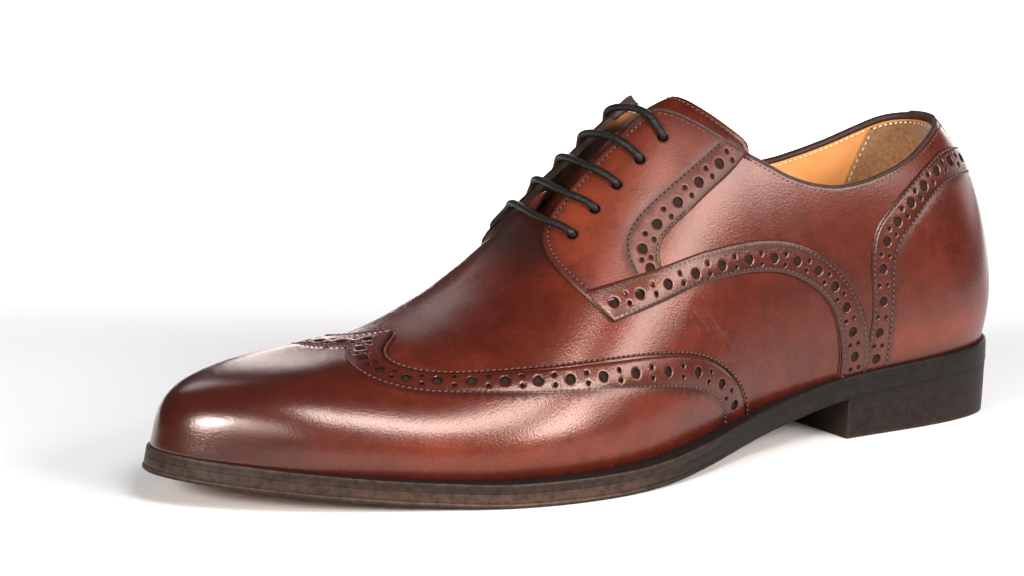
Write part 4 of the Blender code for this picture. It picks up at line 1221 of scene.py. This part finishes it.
if inner_row[100, 1] < collar[100, 1]:
    inner_row = aside(Wall, collar, -2.1)
for part in (inner_row[inner_row[:, 0] > 44], inner_row[inner_row[:, 0] < -44]):
    cream.append((Wall, part, -1.98, 2.0, -1))
cream.append((Wall, inner_row[np.abs(inner_row[:, 0]) < 42], -2.62, 2.0, -1))


# ---------------------------------------------------------------- stitches, one joined mesh for each thread
def stitch_mesh(name, rows, material, radius=0.3, slot="calf"):
    """Each stitch is a short thread that rises from one needle hole and dives into the next; each needle hole is a
    small pit with a dark floor, painted shade.
    """
    verts, faces, kinds = [], [], []
    base = 0
    sides, steps = 6, 5
    ang = np.linspace(0, 2 * math.pi, sides, endpoint=False)
    for chart, line, height, pitch, inner in rows:
        fine = resample(line, 0.25)
        p, d1, d2, n = place(chart, fine)
        h = height(p) if callable(height) else np.full(len(p), float(height))
        run = np.concatenate([[0], np.cumsum(np.linalg.norm(np.diff(p, axis=0), axis=1))])
        count = int(run[-1] // pitch)
        if count < 1:
            continue
        span = run[-1] / count
        pos = p + n * h[:, None]
        for k in range(count):
            s = (k + 0.5) * span + np.linspace(-0.5, 0.5, steps) * span * 0.74
            c = np.stack([np.interp(s, run, pos[:, j]) for j in range(3)], 1)
            nn = np.stack([np.interp(s, run, n[:, j]) for j in range(3)], 1) * inner
            t = c[-1] - c[0]
            t /= np.linalg.norm(t)
            b = np.cross(nn, t)
            prof = np.array([-0.36, -0.05, 0.02, -0.05, -0.36])
            rad = radius * np.array([0.6, 0.95, 1.0, 0.95, 0.6])
            slant = np.linspace(-0.14, 0.14, steps)
            c = c + nn * prof[:, None] + b * slant[:, None]
            ring = (c[:, None] + rad[:, None, None] * (np.cos(ang)[None, :, None] * b[:, None] + np.sin(ang)[None, :, None] * nn[:, None]))
            verts.append(ring.reshape(-1, 3))
            for i in range(steps - 1):
                for j in range(sides):
                    a, d = base + i * sides + j, base + i * sides + (j + 1) % sides
                    faces.append((a, a + sides, d + sides, d))
            faces.append(tuple(base + j for j in range(sides)))
            faces.append(tuple(base + (steps - 1) * sides + j for j in range(sides))[::-1])
            base += steps * sides
            # needle hole at the stitch's end, floored dark: painted shade
            w = (k + 1.0) * span
            c = np.array([np.interp(w, run, pos[:, j]) for j in range(3)])
            up = np.array([np.interp(w, run, n[:, j]) for j in range(3)]) * inner
            rim = c + 0.5 * (np.cos(ang)[:, None] * t + 0.85 * np.sin(ang)[:, None] * np.cross(up, t))
            verts += [rim - up * 0.10, rim - up * 0.32]
            for j in range(sides):
                m = (j + 1) % sides
                faces.append((base + j, base + sides + j, base + sides + m, base + m)[::-1])
            faces.append(tuple(base + j for j in range(sides))[::-1])
            faces.append(tuple(base + sides + j for j in range(sides)))
            base += 2 * sides
            kinds += [0] * (sides * (steps - 1) + 2) + [1] * (sides + 2)
    v = np.vstack(verts)
    f0 = faces[0]
    ring0 = v[:sides].mean(0)
    nn = np.cross(v[f0[1]] - v[f0[0]], v[f0[2]] - v[f0[0]])
    if nn @ (v[list(f0)].mean(0) - ring0) < 0:
        faces = [f[::-1] for f in faces]
    return make(name, v, faces, [material, HOLE_SHADE], kinds, slot, sharp=80.0)


dark_thread = stitch_mesh("stitching", stitches, THREAD)
cream_thread = stitch_mesh("lining_stitching", cream, CREAM, 0.3, "lining")


# ---------------------------------------------------------------- dark discs under the punchings, painted shade in the holes
def floors(name, sets, thick=0.25):
    verts, faces, base = [], [], 0
    for p, n, r in sets:
        for c, d in zip(p, n):
            e = np.cross(d, [0.3, 0.2, 1.0])
            e /= np.linalg.norm(e)
            f = np.cross(d, e)
            k = 14
            a = np.linspace(0, 2 * math.pi, k, endpoint=False)
            ring = c + r * (np.cos(a)[:, None] * e + np.sin(a)[:, None] * f)
            verts += [ring, ring - d * thick]
            for j in range(k):
                m = (j + 1) % k
                faces.append((base + j, base + k + j, base + k + m, base + m))
            faces.append(tuple(range(base, base + k)))
            faces.append(tuple(range(base + k, base + 2 * k))[::-1])
            base += 2 * k
    return make(name, np.vstack(verts), faces, [HOLE_SHADE], None, "calf")


floors("punch_painted_shade", punch_shade_floors)


# ---------------------------------------------------------------- tongue
def face_at(x, w):
    """Point and normal of the face at a distance w from the ridge, seen from above (negative is medial)."""
    def at(px, pw):
        side = np.where(pw >= 0, 1, -1)
        u = np.where(side > 0, u_at(px, 1), u_at(px, -1))
        f = outline(u)
        rx = ridge_x(f[:, 0])
        c = np.stack([rx, ridge_y(rx)], 1)
        t = np.arccos(np.minimum(1, np.abs(pw) / np.linalg.norm(f - c, axis=1)) ** (full_across(f[:, 0]) / 2))
        return last(u, t)
    x, w = np.broadcast_arrays(np.atleast_1d(np.asarray(x, float)), np.atleast_1d(np.asarray(w, float)))
    e = 1.2
    p = at(x, w)
    n = np.cross(at(x + e, w) - at(x - e, w), at(x, w + e) - at(x, w - e))
    return p, n / np.linalg.norm(n, axis=1)[:, None]


TONGUE_EDGE = [  # x, round the last from the ridge: the top leans to the lateral side
    (122.0, 0.0), (119.8, 5.8), (116.4, 12.4), (111.4, 19.2), (106.3, 25.2), (103.8, 28.9), (104.0, 32.6), (107.8, 35.6), (116.0, 37.6),
    (136.0, 37.0), (150.0, 34.0), (163.0, 30.0), (175.0, 24.5), (183.6, 17.6), (186.6, 9.0), (187.0, 0.0), (186.6, -9.0), (183.6, -17.6),
    (175.0, -24.5), (163.0, -30.0), (150.0, -34.0), (136.0, -37.0), (126.0, -36.2), (120.8, -33.4), (118.2, -28.6), (117.6, -22.6),
    (118.6, -14.6), (120.4, -7.0), (122.0, 0.0)]


def tongue_depth(p):
    return -(2.5 + (TONGUE_INSET - 2.5) * (1 - smooth(166, 184, p[:, 0])) + 0.25 * np.sin(p[:, 0] / 9.0 + 0.6) * smooth(120, 140, p[:, 0]))


edge = curve(TONGUE_EDGE, 0.9)
tongue_border = loop(edge)
ring = aside(Flat, np.vstack([edge[-2:-1], edge, edge[1:2]]), 2.3)[1:-1]
if not inside(tongue_border, ring[40:41])[0]:
    ring = aside(Flat, np.vstack([edge[-2:-1], edge, edge[1:2]]), -2.3)[1:-1]
ring = ring[inside(tongue_border, ring) & (nearest(ring, edge) > 1.7)]
k = int(np.argmin(np.abs(ring[:, 0] - 160) + 1000 * (ring[:, 1] > 0)))
ring = np.roll(ring, -k, axis=0)
tongue_row = resample(ring[:int(np.argmin(np.abs(ring[:, 0] - 160) + 1000 * (ring[:, 1] < 0)))], 0.8)
# the tongue darkens down its middle under the lacing: painted shade in the gap between the facings
tongue = panel("tongue_leather", Flat, tongue_border, lambda q, p: tongue_depth(p), lambda q, p: tongue_depth(p) - TONGUE_THICK,
               [CALF, LINING, CUT], 2.2, rows=[tongue_row], drop=0.4, dark=[(tongue_row, 0.9, 0.7),
               (np.stack([np.linspace(140, 180, 30), np.zeros(30)], 1), 13.0, 0.85)])
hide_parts("tongue")
stitch_mesh("tongue_stitching", [(Flat, tongue_row, tongue_depth, 2.1, 1)], THREAD)

# ---------------------------------------------------------------- lace, waxed round cord through the ten holes
LACE_TOP = H_FACING + LACE_RADIUS + 0.02


def bend(corner, a, b, radius, steps=8):
    da, db = a - corner, b - corner
    la, lb = np.linalg.norm(da), np.linalg.norm(db)
    da, db = da / la, db / lb
    angle = math.acos(float(np.clip(da @ db, -1, 1)))
    if angle > 3.05:
        return [corner]
    radius = min(radius, 0.48 * min(la, lb) * math.tan(angle / 2))
    cut = radius / math.tan(angle / 2)
    centre = corner + (da + db) / np.linalg.norm(da + db) * radius / math.sin(angle / 2)
    s, e = corner + da * cut - centre, corner + db * cut - centre
    sweep = math.pi - angle
    return [centre + (s * math.sin((1 - k) * sweep) + e * math.sin(k * sweep)) / math.sin(sweep) for k in np.linspace(0, 1, steps + 1)]


def hole_at(row, side, h):
    p, d1, d2, n = place(Wall, eyelets[(row, side)][None])
    return (p + n * (h + lift(p))[:, None])[0]


def over(row, side):
    return hole_at(row, side, LACE_TOP)


def under_at(row, side):
    return hole_at(row, side, LACE_UNDER)


FAR_EDGE = [(169.6, -13.4), (163.4, -9.4), (156.3, -8.0), (148.7, -8.0), (139.5, -8.0)]   # where each bar crosses the medial edge


def bar(row):
    """The bar between the two holes: along the near facing, over the gap, round the far facing's edge."""
    x, off = EYELETS[row - 1]
    fx, fw = FAR_EDGE[row - 1]
    ew = Flat.of(*Wall.ul(eyelets[(row, 1)][None]))[0, 1]
    nx = x + (2.6, 3.0, 3.0, 2.6, 1.2)[row - 1]
    q = np.array([(0.72 * x + 0.28 * nx, 9.7 + 0.70 * (ew - 9.7)), (nx, 9.7), (fx, fw + 0.3), (fx - 0.3, fw - 2.6)])
    p, d1, d2, n = place(Flat, q)
    h = H_FACING + lift(p) + LACE_RADIUS * np.array([1.05, 1.1, 0.8, 0.85])
    key = np.vstack([over(row, 1), p + n * h[:, None]])
    t = np.concatenate([[0], np.cumsum(np.linalg.norm(np.diff(key, axis=0), axis=1) ** 0.6)])
    return list(natural(t, key)(np.linspace(0, t[-1], 40))[3:])


LACE_WAY = [(4, 1), (4, -1), (2, -1), (2, 1), (1, 1), (1, -1), (3, -1), (3, 1), (5, 1), (5, -1)]
corners = [under_at(*LACE_WAY[0]) + (under_at(3, 1) - under_at(*LACE_WAY[0])) * 0.45]
for i, (row, side) in enumerate(LACE_WAY):
    if i % 2 == 0:
        corners += [under_at(row, side), over(row, side)] + bar(row)[::side]
    else:
        corners += [over(row, side), under_at(row, side)]
corners.append(under_at(*LACE_WAY[-1]) + (under_at(4, -1) - under_at(*LACE_WAY[-1])) * 0.45)
route = [corners[0]]
for a, c, b in zip(corners, corners[1:], corners[2:]):
    route += bend(c, a, b, LACE_BEND)
route.append(corners[-1])
route = resample(np.array(route), 0.3)
for _ in range(9):
    route[1:-1] = 0.25 * route[:-2] + 0.5 * route[1:-1] + 0.25 * route[2:]
LACE_LENGTH = float(np.linalg.norm(np.diff(route, axis=0), axis=1).sum())


def tube(name, path, radius, sides, material, slot, twist=0.0, ridges=0, depth=0.0):
    """Round cord along a path; ridges winding both ways give it a braided skin."""
    t = np.gradient(path, axis=0)
    t /= np.linalg.norm(t, axis=1)[:, None]
    n = np.cross(t[0], [0.2, 0.3, 0.9])
    n /= np.linalg.norm(n)
    frames = []
    for k in range(len(path)):
        n = n - t[k] * (n @ t[k])
        n /= np.linalg.norm(n)
        frames.append((n, np.cross(t[k], n)))
    run = np.concatenate([[0], np.cumsum(np.linalg.norm(np.diff(path, axis=0), axis=1))])
    a = np.linspace(0, 2 * math.pi, sides, endpoint=False)
    rings = []
    for k, (e, f) in enumerate(frames):
        s = run[k] * twist
        r = radius * (1 + depth * np.cos(ridges * a + s) * np.cos(ridges * a - s))
        end = min(1.0, math.sqrt(max(0.02, min(k, len(path) - 1 - k) / 4.0)))
        rings.append(path[k] + (r * end)[:, None] * (np.cos(a)[:, None] * e + np.sin(a)[:, None] * f))
    v = np.vstack(rings)
    faces = []
    for i in range(len(path) - 1):
        for j in range(sides):
            m = (j + 1) % sides
            faces.append((i * sides + j, i * sides + m, (i + 1) * sides + m, (i + 1) * sides + j))
    faces.append(tuple(range(sides))[::-1])
    faces.append(tuple(range((len(path) - 1) * sides, len(path) * sides)))
    return make(name, v, faces, [material], None, slot, sharp=80.0)


mat, nt, bsdf = nodes_of("waxed_cord")
co = coords(nt)
speck = noise(nt, co, 1900.0, 3.0, 0.7)
nt.links.new(ramp(nt, speck, [(0.35, (0.004, 0.003, 0.0026)), (0.64, (0.010, 0.0075, 0.006)), (0.82, (0.040, 0.033, 0.027))]),
             bsdf.inputs["Base Color"])
nt.links.new(maths(nt, "MULTIPLY_ADD", speck, 0.3, 0.26), bsdf.inputs["Roughness"])
bump(nt, bsdf, maths(nt, "MULTIPLY_ADD", cells(nt, co, 1500.0), 0.8, speck), 0.8, 0.0002)
bsdf.inputs["Specular IOR Level"].default_value = 0.28
CORD = mat
lace = tube("lace_cord", route, LACE_RADIUS, 20, CORD, "lace_cord", twist=4.2, ridges=5, depth=0.045)
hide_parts("lace")

# ---------------------------------------------------------------- welt, outsole, heel, sock
stations = (1 - np.cos(np.linspace(0, math.pi, 150))) / 2
x_back, x_tip = 0.3, 300.5
sx = x_back + (x_tip - x_back) * stations[1:-1]
around = np.concatenate([[0.0], u_at(sx, 1), [U_TOE], u_at(sx[::-1], -1)])


def ring_mesh(name, profile, mats, slot, face_mat=None, wear=None):
    """Closed moulding round the plan. profile: functions of (outline point, normal, x) giving points, in order round the section."""
    f, n = outline(around), outward(around)
    grid = np.stack([fn(f, n) for fn in profile], 1)
    m, k = grid.shape[:2]
    faces, fm = [], []
    for i in range(m):
        for j in range(k):
            i2, j2 = (i + 1) % m, (j + 1) % k
            faces.append((i * k + j, i * k + j2, i2 * k + j2, i2 * k + j))
            fm.append(0 if face_mat is None else face_mat[j])
    v = grid.reshape(-1, 3)
    q = m // 4
    c = grid[q].mean(0)
    face = faces[q * k]
    nn = np.cross(v[face[1]] - v[face[0]], v[face[2]] - v[face[0]])
    if nn @ (v[list(face)].mean(0) - c) < 0:
        faces = [g[::-1] for g in faces]
    w = np.zeros(len(v)) if wear is None else np.tile(wear, m)
    return v, faces, fm, w, (m, k)


def section(dr, base, dz, line=False):
    """Point of a moulding: dr from the sole's edge (-99: under the upper's wall), dz from a height function.
    line marks the points of the groove (1), which runs out towards the waist, and of the tread's edge (2), which ends at
    the heel. At the toe the edge leans out downwards."""
    def f(p, n):
        x = p[:, 0]
        if dr < -90:
            r = -(inset_at_welt(x) + WELT_TUCK)
        else:
            fade = (1.0, 0.1 + 0.9 * smooth(120, 168, x), 0.12 + 0.88 * smooth(HEEL_LENGTH - 1, HEEL_LENGTH + 9, x))[int(line)]
            r = sole_reach(x) + dr * fade
            q = p + n * r[:, None]
            share = np.clip((base(q[:, 0]) + dz - underside(q[:, 0])) / sole_edge(q[:, 0]), 0, 1)
            r = r + (0.5 - 1.6 * share) * smooth(238, 298, x)
        q = p + n * r[:, None]
        return np.column_stack([q, base(q[:, 0]) + dz])
    return f


low_welt = lambda x: outsole_top(x) + 0.04
WELT = [section(-99, welt_top, -0.02), section(-3.2, welt_top, 0.0), section(-0.75, welt_top, 0.02), section(-0.32, welt_top, 0.0),
        section(-0.1, welt_top, -0.14), section(0.0, welt_top, -0.42), section(-0.05, welt_top, -1.0, 1), section(-0.1, welt_top, -1.9, 1),
        section(-0.12, low_welt, 0.3, 1), section(-0.13, low_welt, 0.06, 1), section(-0.4, low_welt, 0.0, 1), section(-99, low_welt, 0.0)]
v, faces, fm, w, _ = ring_mesh("welt", WELT, None, None, [1, 1, 0, 0, 0, 0, 0, 0, 0, 0, 0, 0],
                               [0, 0, 0.1, 0.5, 0.7, 0.35, 0.22, 0.25, 0.3, 0.3, 0.2, 0])
fore = smooth(120, 165, v[:, 0])
welt = make("welt_edge", v, faces, [SOLE_EDGE_MAT, LEDGE], fm, "sole_edge", wear=w * (0.1 + 0.9 * fore))
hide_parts("welt")

EDGE = [(-0.4, outsole_top, 0.0, 1), (-0.13, outsole_top, -0.03, 1), (-0.14, outsole_top, -0.5, 1), (-0.18, underside, 2.6, 1),
        (-0.34, underside, 1.95, 1), (-0.46, underside, 1.62, 1), (-0.12, underside, 1.4, 1), (0.02, underside, 1.2, 1),
        (0.02, underside, 0.7, 1), (-0.12, underside, 0.3, 1), (-0.5, underside, 0.06, 2), (-1.2, underside, 0.0, 2)]
f, n = outline(around), outward(around)
rx = ridge_x(f[:, 0])
lat_y, med_y = outline(u_at(rx, 1))[:, 1], outline(u_at(rx, -1))[:, 1]
spine = np.stack([rx, (lat_y + med_y) / 2], 1)
cols = []
for share in (0.0, 0.35, 0.7, 0.92):
    q = spine + (f + n * (sole_reach(f[:, 0]) - 1.8)[:, None] - spine) * share
    cols.append(np.column_stack([q, outsole_top(q[:, 0])]))
for dr, base, dz, line in EDGE:
    cols.append(section(dr, base, dz, line)(f, n))
n_edge = len(cols)
for share in (0.96, 0.88, 0.7, 0.45, 0.2, 0.0):
    q = spine + (f + n * (sole_reach(f[:, 0]) - 1.2)[:, None] - spine) * share
    cols.append(np.column_stack([q, underside(q[:, 0])]))
grid = np.stack(cols, 1)
m, k = grid.shape[:2]
faces, fm = [], []
for i in range(m):
    for j in range(k - 1):
        i2 = (i + 1) % m
        faces.append((i * k + j, i * k + j + 1, i2 * k + j + 1, i2 * k + j))
        fm.append(1 if j >= n_edge - 1 else 0)
v = grid.reshape(-1, 3)
face = faces[(m // 4) * (k - 1) + 8]
nn = np.cross(v[face[1]] - v[face[0]], v[face[2]] - v[face[0]])
if nn @ np.append(n[m // 4], 0.0) < 0:
    faces = [g[::-1] for g in faces]
wear_col = np.array([0, 0, 0.1, 0.2, 0.5, 0.6, 0.6, 0.75, 0.8, 0.5, 1.0, 0.95, 0.4, 0.15, 0.1, 0.1] + [0.3] * 6)
wear = np.tile(wear_col, m)
fore = smooth(140, 195, v[:, 0]) * (1 - 0.4 * smooth(228, 275, v[:, 0]))
outsole = make("outsole_leather", v, faces, [SOLE_EDGE_MAT, SOLE_BOTTOM], fm, "sole_edge", wear=wear * (0.06 + 0.94 * fore))
import bmesh
bm = bmesh.new()
bm.from_mesh(outsole.data)
bmesh.ops.remove_doubles(bm, verts=bm.verts, dist=0.00002)
bmesh.ops.dissolve_degenerate(bm, edges=bm.edges, dist=0.00001)
bm.to_mesh(outsole.data)
bm.free()
outsole.data.set_sharp_from_angle(angle=math.radians(38))
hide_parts("outsole")

# heel: the plan's rear, cut off square, in levels from the seat to the floor
hx = HEEL_LENGTH
ua, ub = float(u_at(hx, 1)), float(u_at(hx, -1))
hu = np.concatenate([np.linspace(ua, 0, 90), np.linspace(1, ub, 90)[1:]])


def heel_loop(inset, z_fn, taper):
    p, q = outline(hu), outward(hu)
    side = p + q * (sole_reach(p[:, 0]) - 0.2 - inset - taper)[:, None]
    side[:, 0] = np.minimum(side[:, 0], hx - inset)
    r = 0.35
    a, b = side[0].copy(), side[-1].copy()
    a[0] = b[0] = hx - inset
    front = np.stack([np.full(24, hx - inset), np.linspace(b[1] + r, a[1] - r, 24)], 1)
    front[:, 0] -= 0.9 * (1 - ((front[:, 1] - front[:, 1].mean()) / (0.5 * (a[1] - b[1]))) ** 2)
    side[0], side[-1] = (hx - inset - r, a[1]), (hx - inset - r, b[1])
    q = np.vstack([side, front])
    return np.column_stack([q, z_fn(q[:, 0])])


seat = lambda x: underside(x) - 0.02
LEVELS = [(0.12, 1.0, 0.0), (0.03, 1.0, -0.05), (0.0, 1.0, -0.2), (0.0, 0.8, 0.0), (0.0, 0.6, 0.0), (0.0, 0.4, 0.0), (0.0, 0.2, 0.0),
          (0.0, 0.0, 1.4), (0.0, 0.0, 0.55), (0.12, 0.0, 0.16), (0.4, 0.0, 0.0)]
loops = []
for inset, share, dz in LEVELS:
    loops.append(heel_loop(inset, lambda x: seat(x) * share + dz, HEEL_TAPER * (1 - share)))
grid = np.stack(loops)
m, k = grid.shape[:2]
faces, fm = [], []
for i in range(m - 1):
    for j in range(k):
        j2 = (j + 1) % k
        faces.append((i * k + j, i * k + j2, (i + 1) * k + j2, (i + 1) * k + j))
        fm.append(0)
v = grid.reshape(-1, 3)
extra = []
for lv, flip_cap in ((0, True), (m - 1, False)):
    ring = grid[lv]
    c = ring.mean(0)
    inner = [c + (ring - c) * s for s in (0.66, 0.33)]
    start = len(v) + len(extra) * 0
    base = len(v)
    v = np.vstack([v] + inner + [c[None]])
    a = lv * k
    for lvl in range(2):
        b = base + lvl * k
        for j in range(k):
            j2 = (j + 1) % k
            g = (a + j, a + j2, b + j2, b + j)
            faces.append(g if not flip_cap else g[::-1])
            fm.append(1 if lv else 0)
        a = b
    for j in range(k):
        g = (a + j, a + (j + 1) % k, base + 2 * k)
        faces.append(g if not flip_cap else g[::-1])
        fm.append(1 if lv else 0)
face = faces[3 * k + 90]
nn = np.cross(v[face[1]] - v[face[0]], v[face[2]] - v[face[0]])
if nn @ np.array([-1.0, 0, 0]) < 0:
    faces = [g[::-1] for g in faces]
wear = np.concatenate([np.repeat([0.0, 0.0, 0.05, 0.1, 0.12, 0.12, 0.14, 0.16, 0.5, 1.0, 0.8], k), np.zeros(len(v) - m * k)])
wear = np.maximum(wear, np.where((np.abs(v[:, 0] - hx) < 0.6), 0.35, 0))
heel = make("heel_block", v, faces, [HEEL_MAT, RUBBER], fm, "sole_edge", wear=wear)
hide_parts("heel")

# sock over the insole board
f, n = outline(around), outward(around)
cols = []
reach = -(np.maximum(inset_at_welt(f[:, 0]), 0.6 * inset_at_welt(f[:, 0])) + WALL + 0.45)
edge_xy = f + n * reach[:, None]
for share, dz in ((0.0, 0.0), (0.3, 0.0), (0.6, 0.05), (0.85, 0.25), (0.95, 0.6), (0.99, 0.9), (1.0, 0.8)):
    q = spine + (edge_xy - spine) * share
    cols.append(np.column_stack([q, welt_top(q[:, 0]) + INSOLE_RISE - 0.4 + dz]))
q = edge_xy
cols.append(np.column_stack([q, outsole_top(q[:, 0]) + 0.1]))
cols.append(np.column_stack([spine + (edge_xy - spine) * 0.5, outsole_top(spine[:, 0]) + 0.1]))
cols.append(np.column_stack([spine, outsole_top(spine[:, 0]) + 0.1]))
grid = np.stack(cols, 1)
m, k = grid.shape[:2]
faces = [(i * k + j, i * k + j + 1, ((i + 1) % m) * k + j + 1, ((i + 1) % m) * k + j) for i in range(m) for j in range(k - 1)]
v = grid.reshape(-1, 3)
face = faces[(m // 4) * (k - 1) + 6]
nn = np.cross(v[face[1]] - v[face[0]], v[face[2]] - v[face[0]])
if nn @ np.append(n[m // 4], 0.0) < 0:
    faces = [g[::-1] for g in faces]
sock = make("sock", v, faces, [SOCK], None, "lining")
bm = bmesh.new()
bm.from_mesh(sock.data)
bmesh.ops.remove_doubles(bm, verts=bm.verts, dist=0.00002)
bmesh.ops.dissolve_degenerate(bm, edges=bm.edges, dist=0.00001)
bm.to_mesh(sock.data)
bm.free()
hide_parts("insole")

# ---------------------------------------------------------------- floor, light, camera
floor_mesh = bpy.data.meshes.new("floor")
away, across = np.array([-0.548, -0.836]), np.array([-0.836, 0.548])      # along the view and across it, on the floor
floor_mesh.from_pydata([(*(a * away + b * across), 0.0) for a, b in ((-0.42, -1.1), (-0.42, 0.42), (1.8, 0.66), (1.8, -1.3))],
                       [], [(0, 1, 2, 3)])
floor = bpy.data.objects.new("floor", floor_mesh)
bpy.context.scene.collection.objects.link(floor)
mat, nt, bsdf = nodes_of("pale_floor")
nt.links.new(ramp(nt, noise(nt, coords(nt), 3.0, 2.0), [(0.3, (0.75, 0.75, 0.75)), (0.7, (0.78, 0.78, 0.78))]), bsdf.inputs["Base Color"])
bsdf.inputs["Roughness"].default_value = 0.7
bsdf.inputs["Specular IOR Level"].default_value = 0.15
floor_mesh.materials.append(mat)
floor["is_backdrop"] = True

world = bpy.data.worlds.new("studio")
bpy.context.scene.world = world
world.use_nodes = True
world.node_tree.nodes["Background"].inputs["Color"].default_value = (1.0, 0.99, 0.98, 1)
world.node_tree.nodes["Background"].inputs["Strength"].default_value = 0.05


def softbox(name, azimuth, elevation, distance, width, height, radiance, colour=(1, 1, 1), aim=(0, 0, 0.05)):
    """Rectangular area light at a bearing from the shoe (0 is the toe's side, 90 the lateral side)."""
    a, e = math.radians(azimuth), math.radians(elevation)
    d = Vector((math.cos(e) * math.cos(a), math.cos(e) * math.sin(a), math.sin(e)))
    light = bpy.data.lights.new(name, "AREA")
    light.shape = "RECTANGLE"
    light.size, light.size_y = width, height
    light.energy = radiance * math.pi * width * height
    light.color = colour
    ob = bpy.data.objects.new(name, light)
    bpy.context.scene.collection.objects.link(ob)
    ob.location = Vector(aim) + d * distance
    ob.rotation_mode = "QUATERNION"
    ob.rotation_quaternion = (-d).to_track_quat("-Z", "Y")
    return ob


toe_box = softbox("toe_box", 20.0, 20.8, 1.6, 0.66, 0.34, 37.0)
toe_box.data.shape = "ELLIPSE"
softbox("toe_fill", 43, 17, 1.6, 0.48, 0.38, 6.5)
softbox("side_box_front", 80.5, 45.5, 1.6, 0.56, 0.48, 22.0)
softbox("side_box", 100, 22, 1.6, 0.62, 0.48, 24.0)
softbox("quarter_box", 129, 25, 1.6, 0.60, 0.44, 12.0)
softbox("rear_box_a", 190, 8, 1.8, 1.60, 0.45, 2.4)
softbox("rear_box_b", 227, 9.6, 1.8, 1.25, 0.32, 6.0, (1.0, 0.88, 0.87))
softbox("ridge_box", 264, 36, 1.8, 0.46, 0.46, 1.8)
wash = softbox("floor_wash", 56, 51, 0.96, 2.3, 0.6, 6.5, aim=(-0.50, -0.75, 0.0))
wash.data.spread = math.radians(64)

yaw, el, roll = math.radians(33.198), math.radians(11.404), math.radians(0.171)
back = np.array([math.sin(yaw) * math.cos(el), math.cos(yaw) * math.cos(el), math.sin(el)])
view = -back
right = np.cross(view, [0, 0, 1])
right /= np.linalg.norm(right)
upv = np.cross(right, view)
right, upv = math.cos(roll) * right + math.sin(roll) * upv, -math.sin(roll) * right + math.cos(roll) * upv
eye = np.array([150.0, 0, 50.0]) + back * 1500 - 27.356 * right + 2.592 * upv
eye = (eye - ORIGIN) * 0.001
cam = bpy.data.cameras.new("camera")
cam.sensor_width = 36.0
cam.lens = 4730.2 / 1024 * 36.0
cam.clip_start, cam.clip_end = 0.05, 60
cam_ob = bpy.data.objects.new("camera", cam)
bpy.context.scene.collection.objects.link(cam_ob)
rot = Matrix((right, upv, back)).transposed().to_4x4()
cam_ob.matrix_world = Matrix.Translation(Vector(eye)) @ rot
bpy.context.scene.camera = cam_ob
bpy.context.scene.view_settings.view_transform = "Standard"

print("lace length mm", round(LACE_LENGTH, 1))
total = 0
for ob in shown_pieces():
    if ob.type == "MESH":
        ob.data.calc_loop_triangles()
        total += len(ob.data.loop_triangles)
        print("piece", ob.name, len(ob.data.loop_triangles))
print("triangles", total)
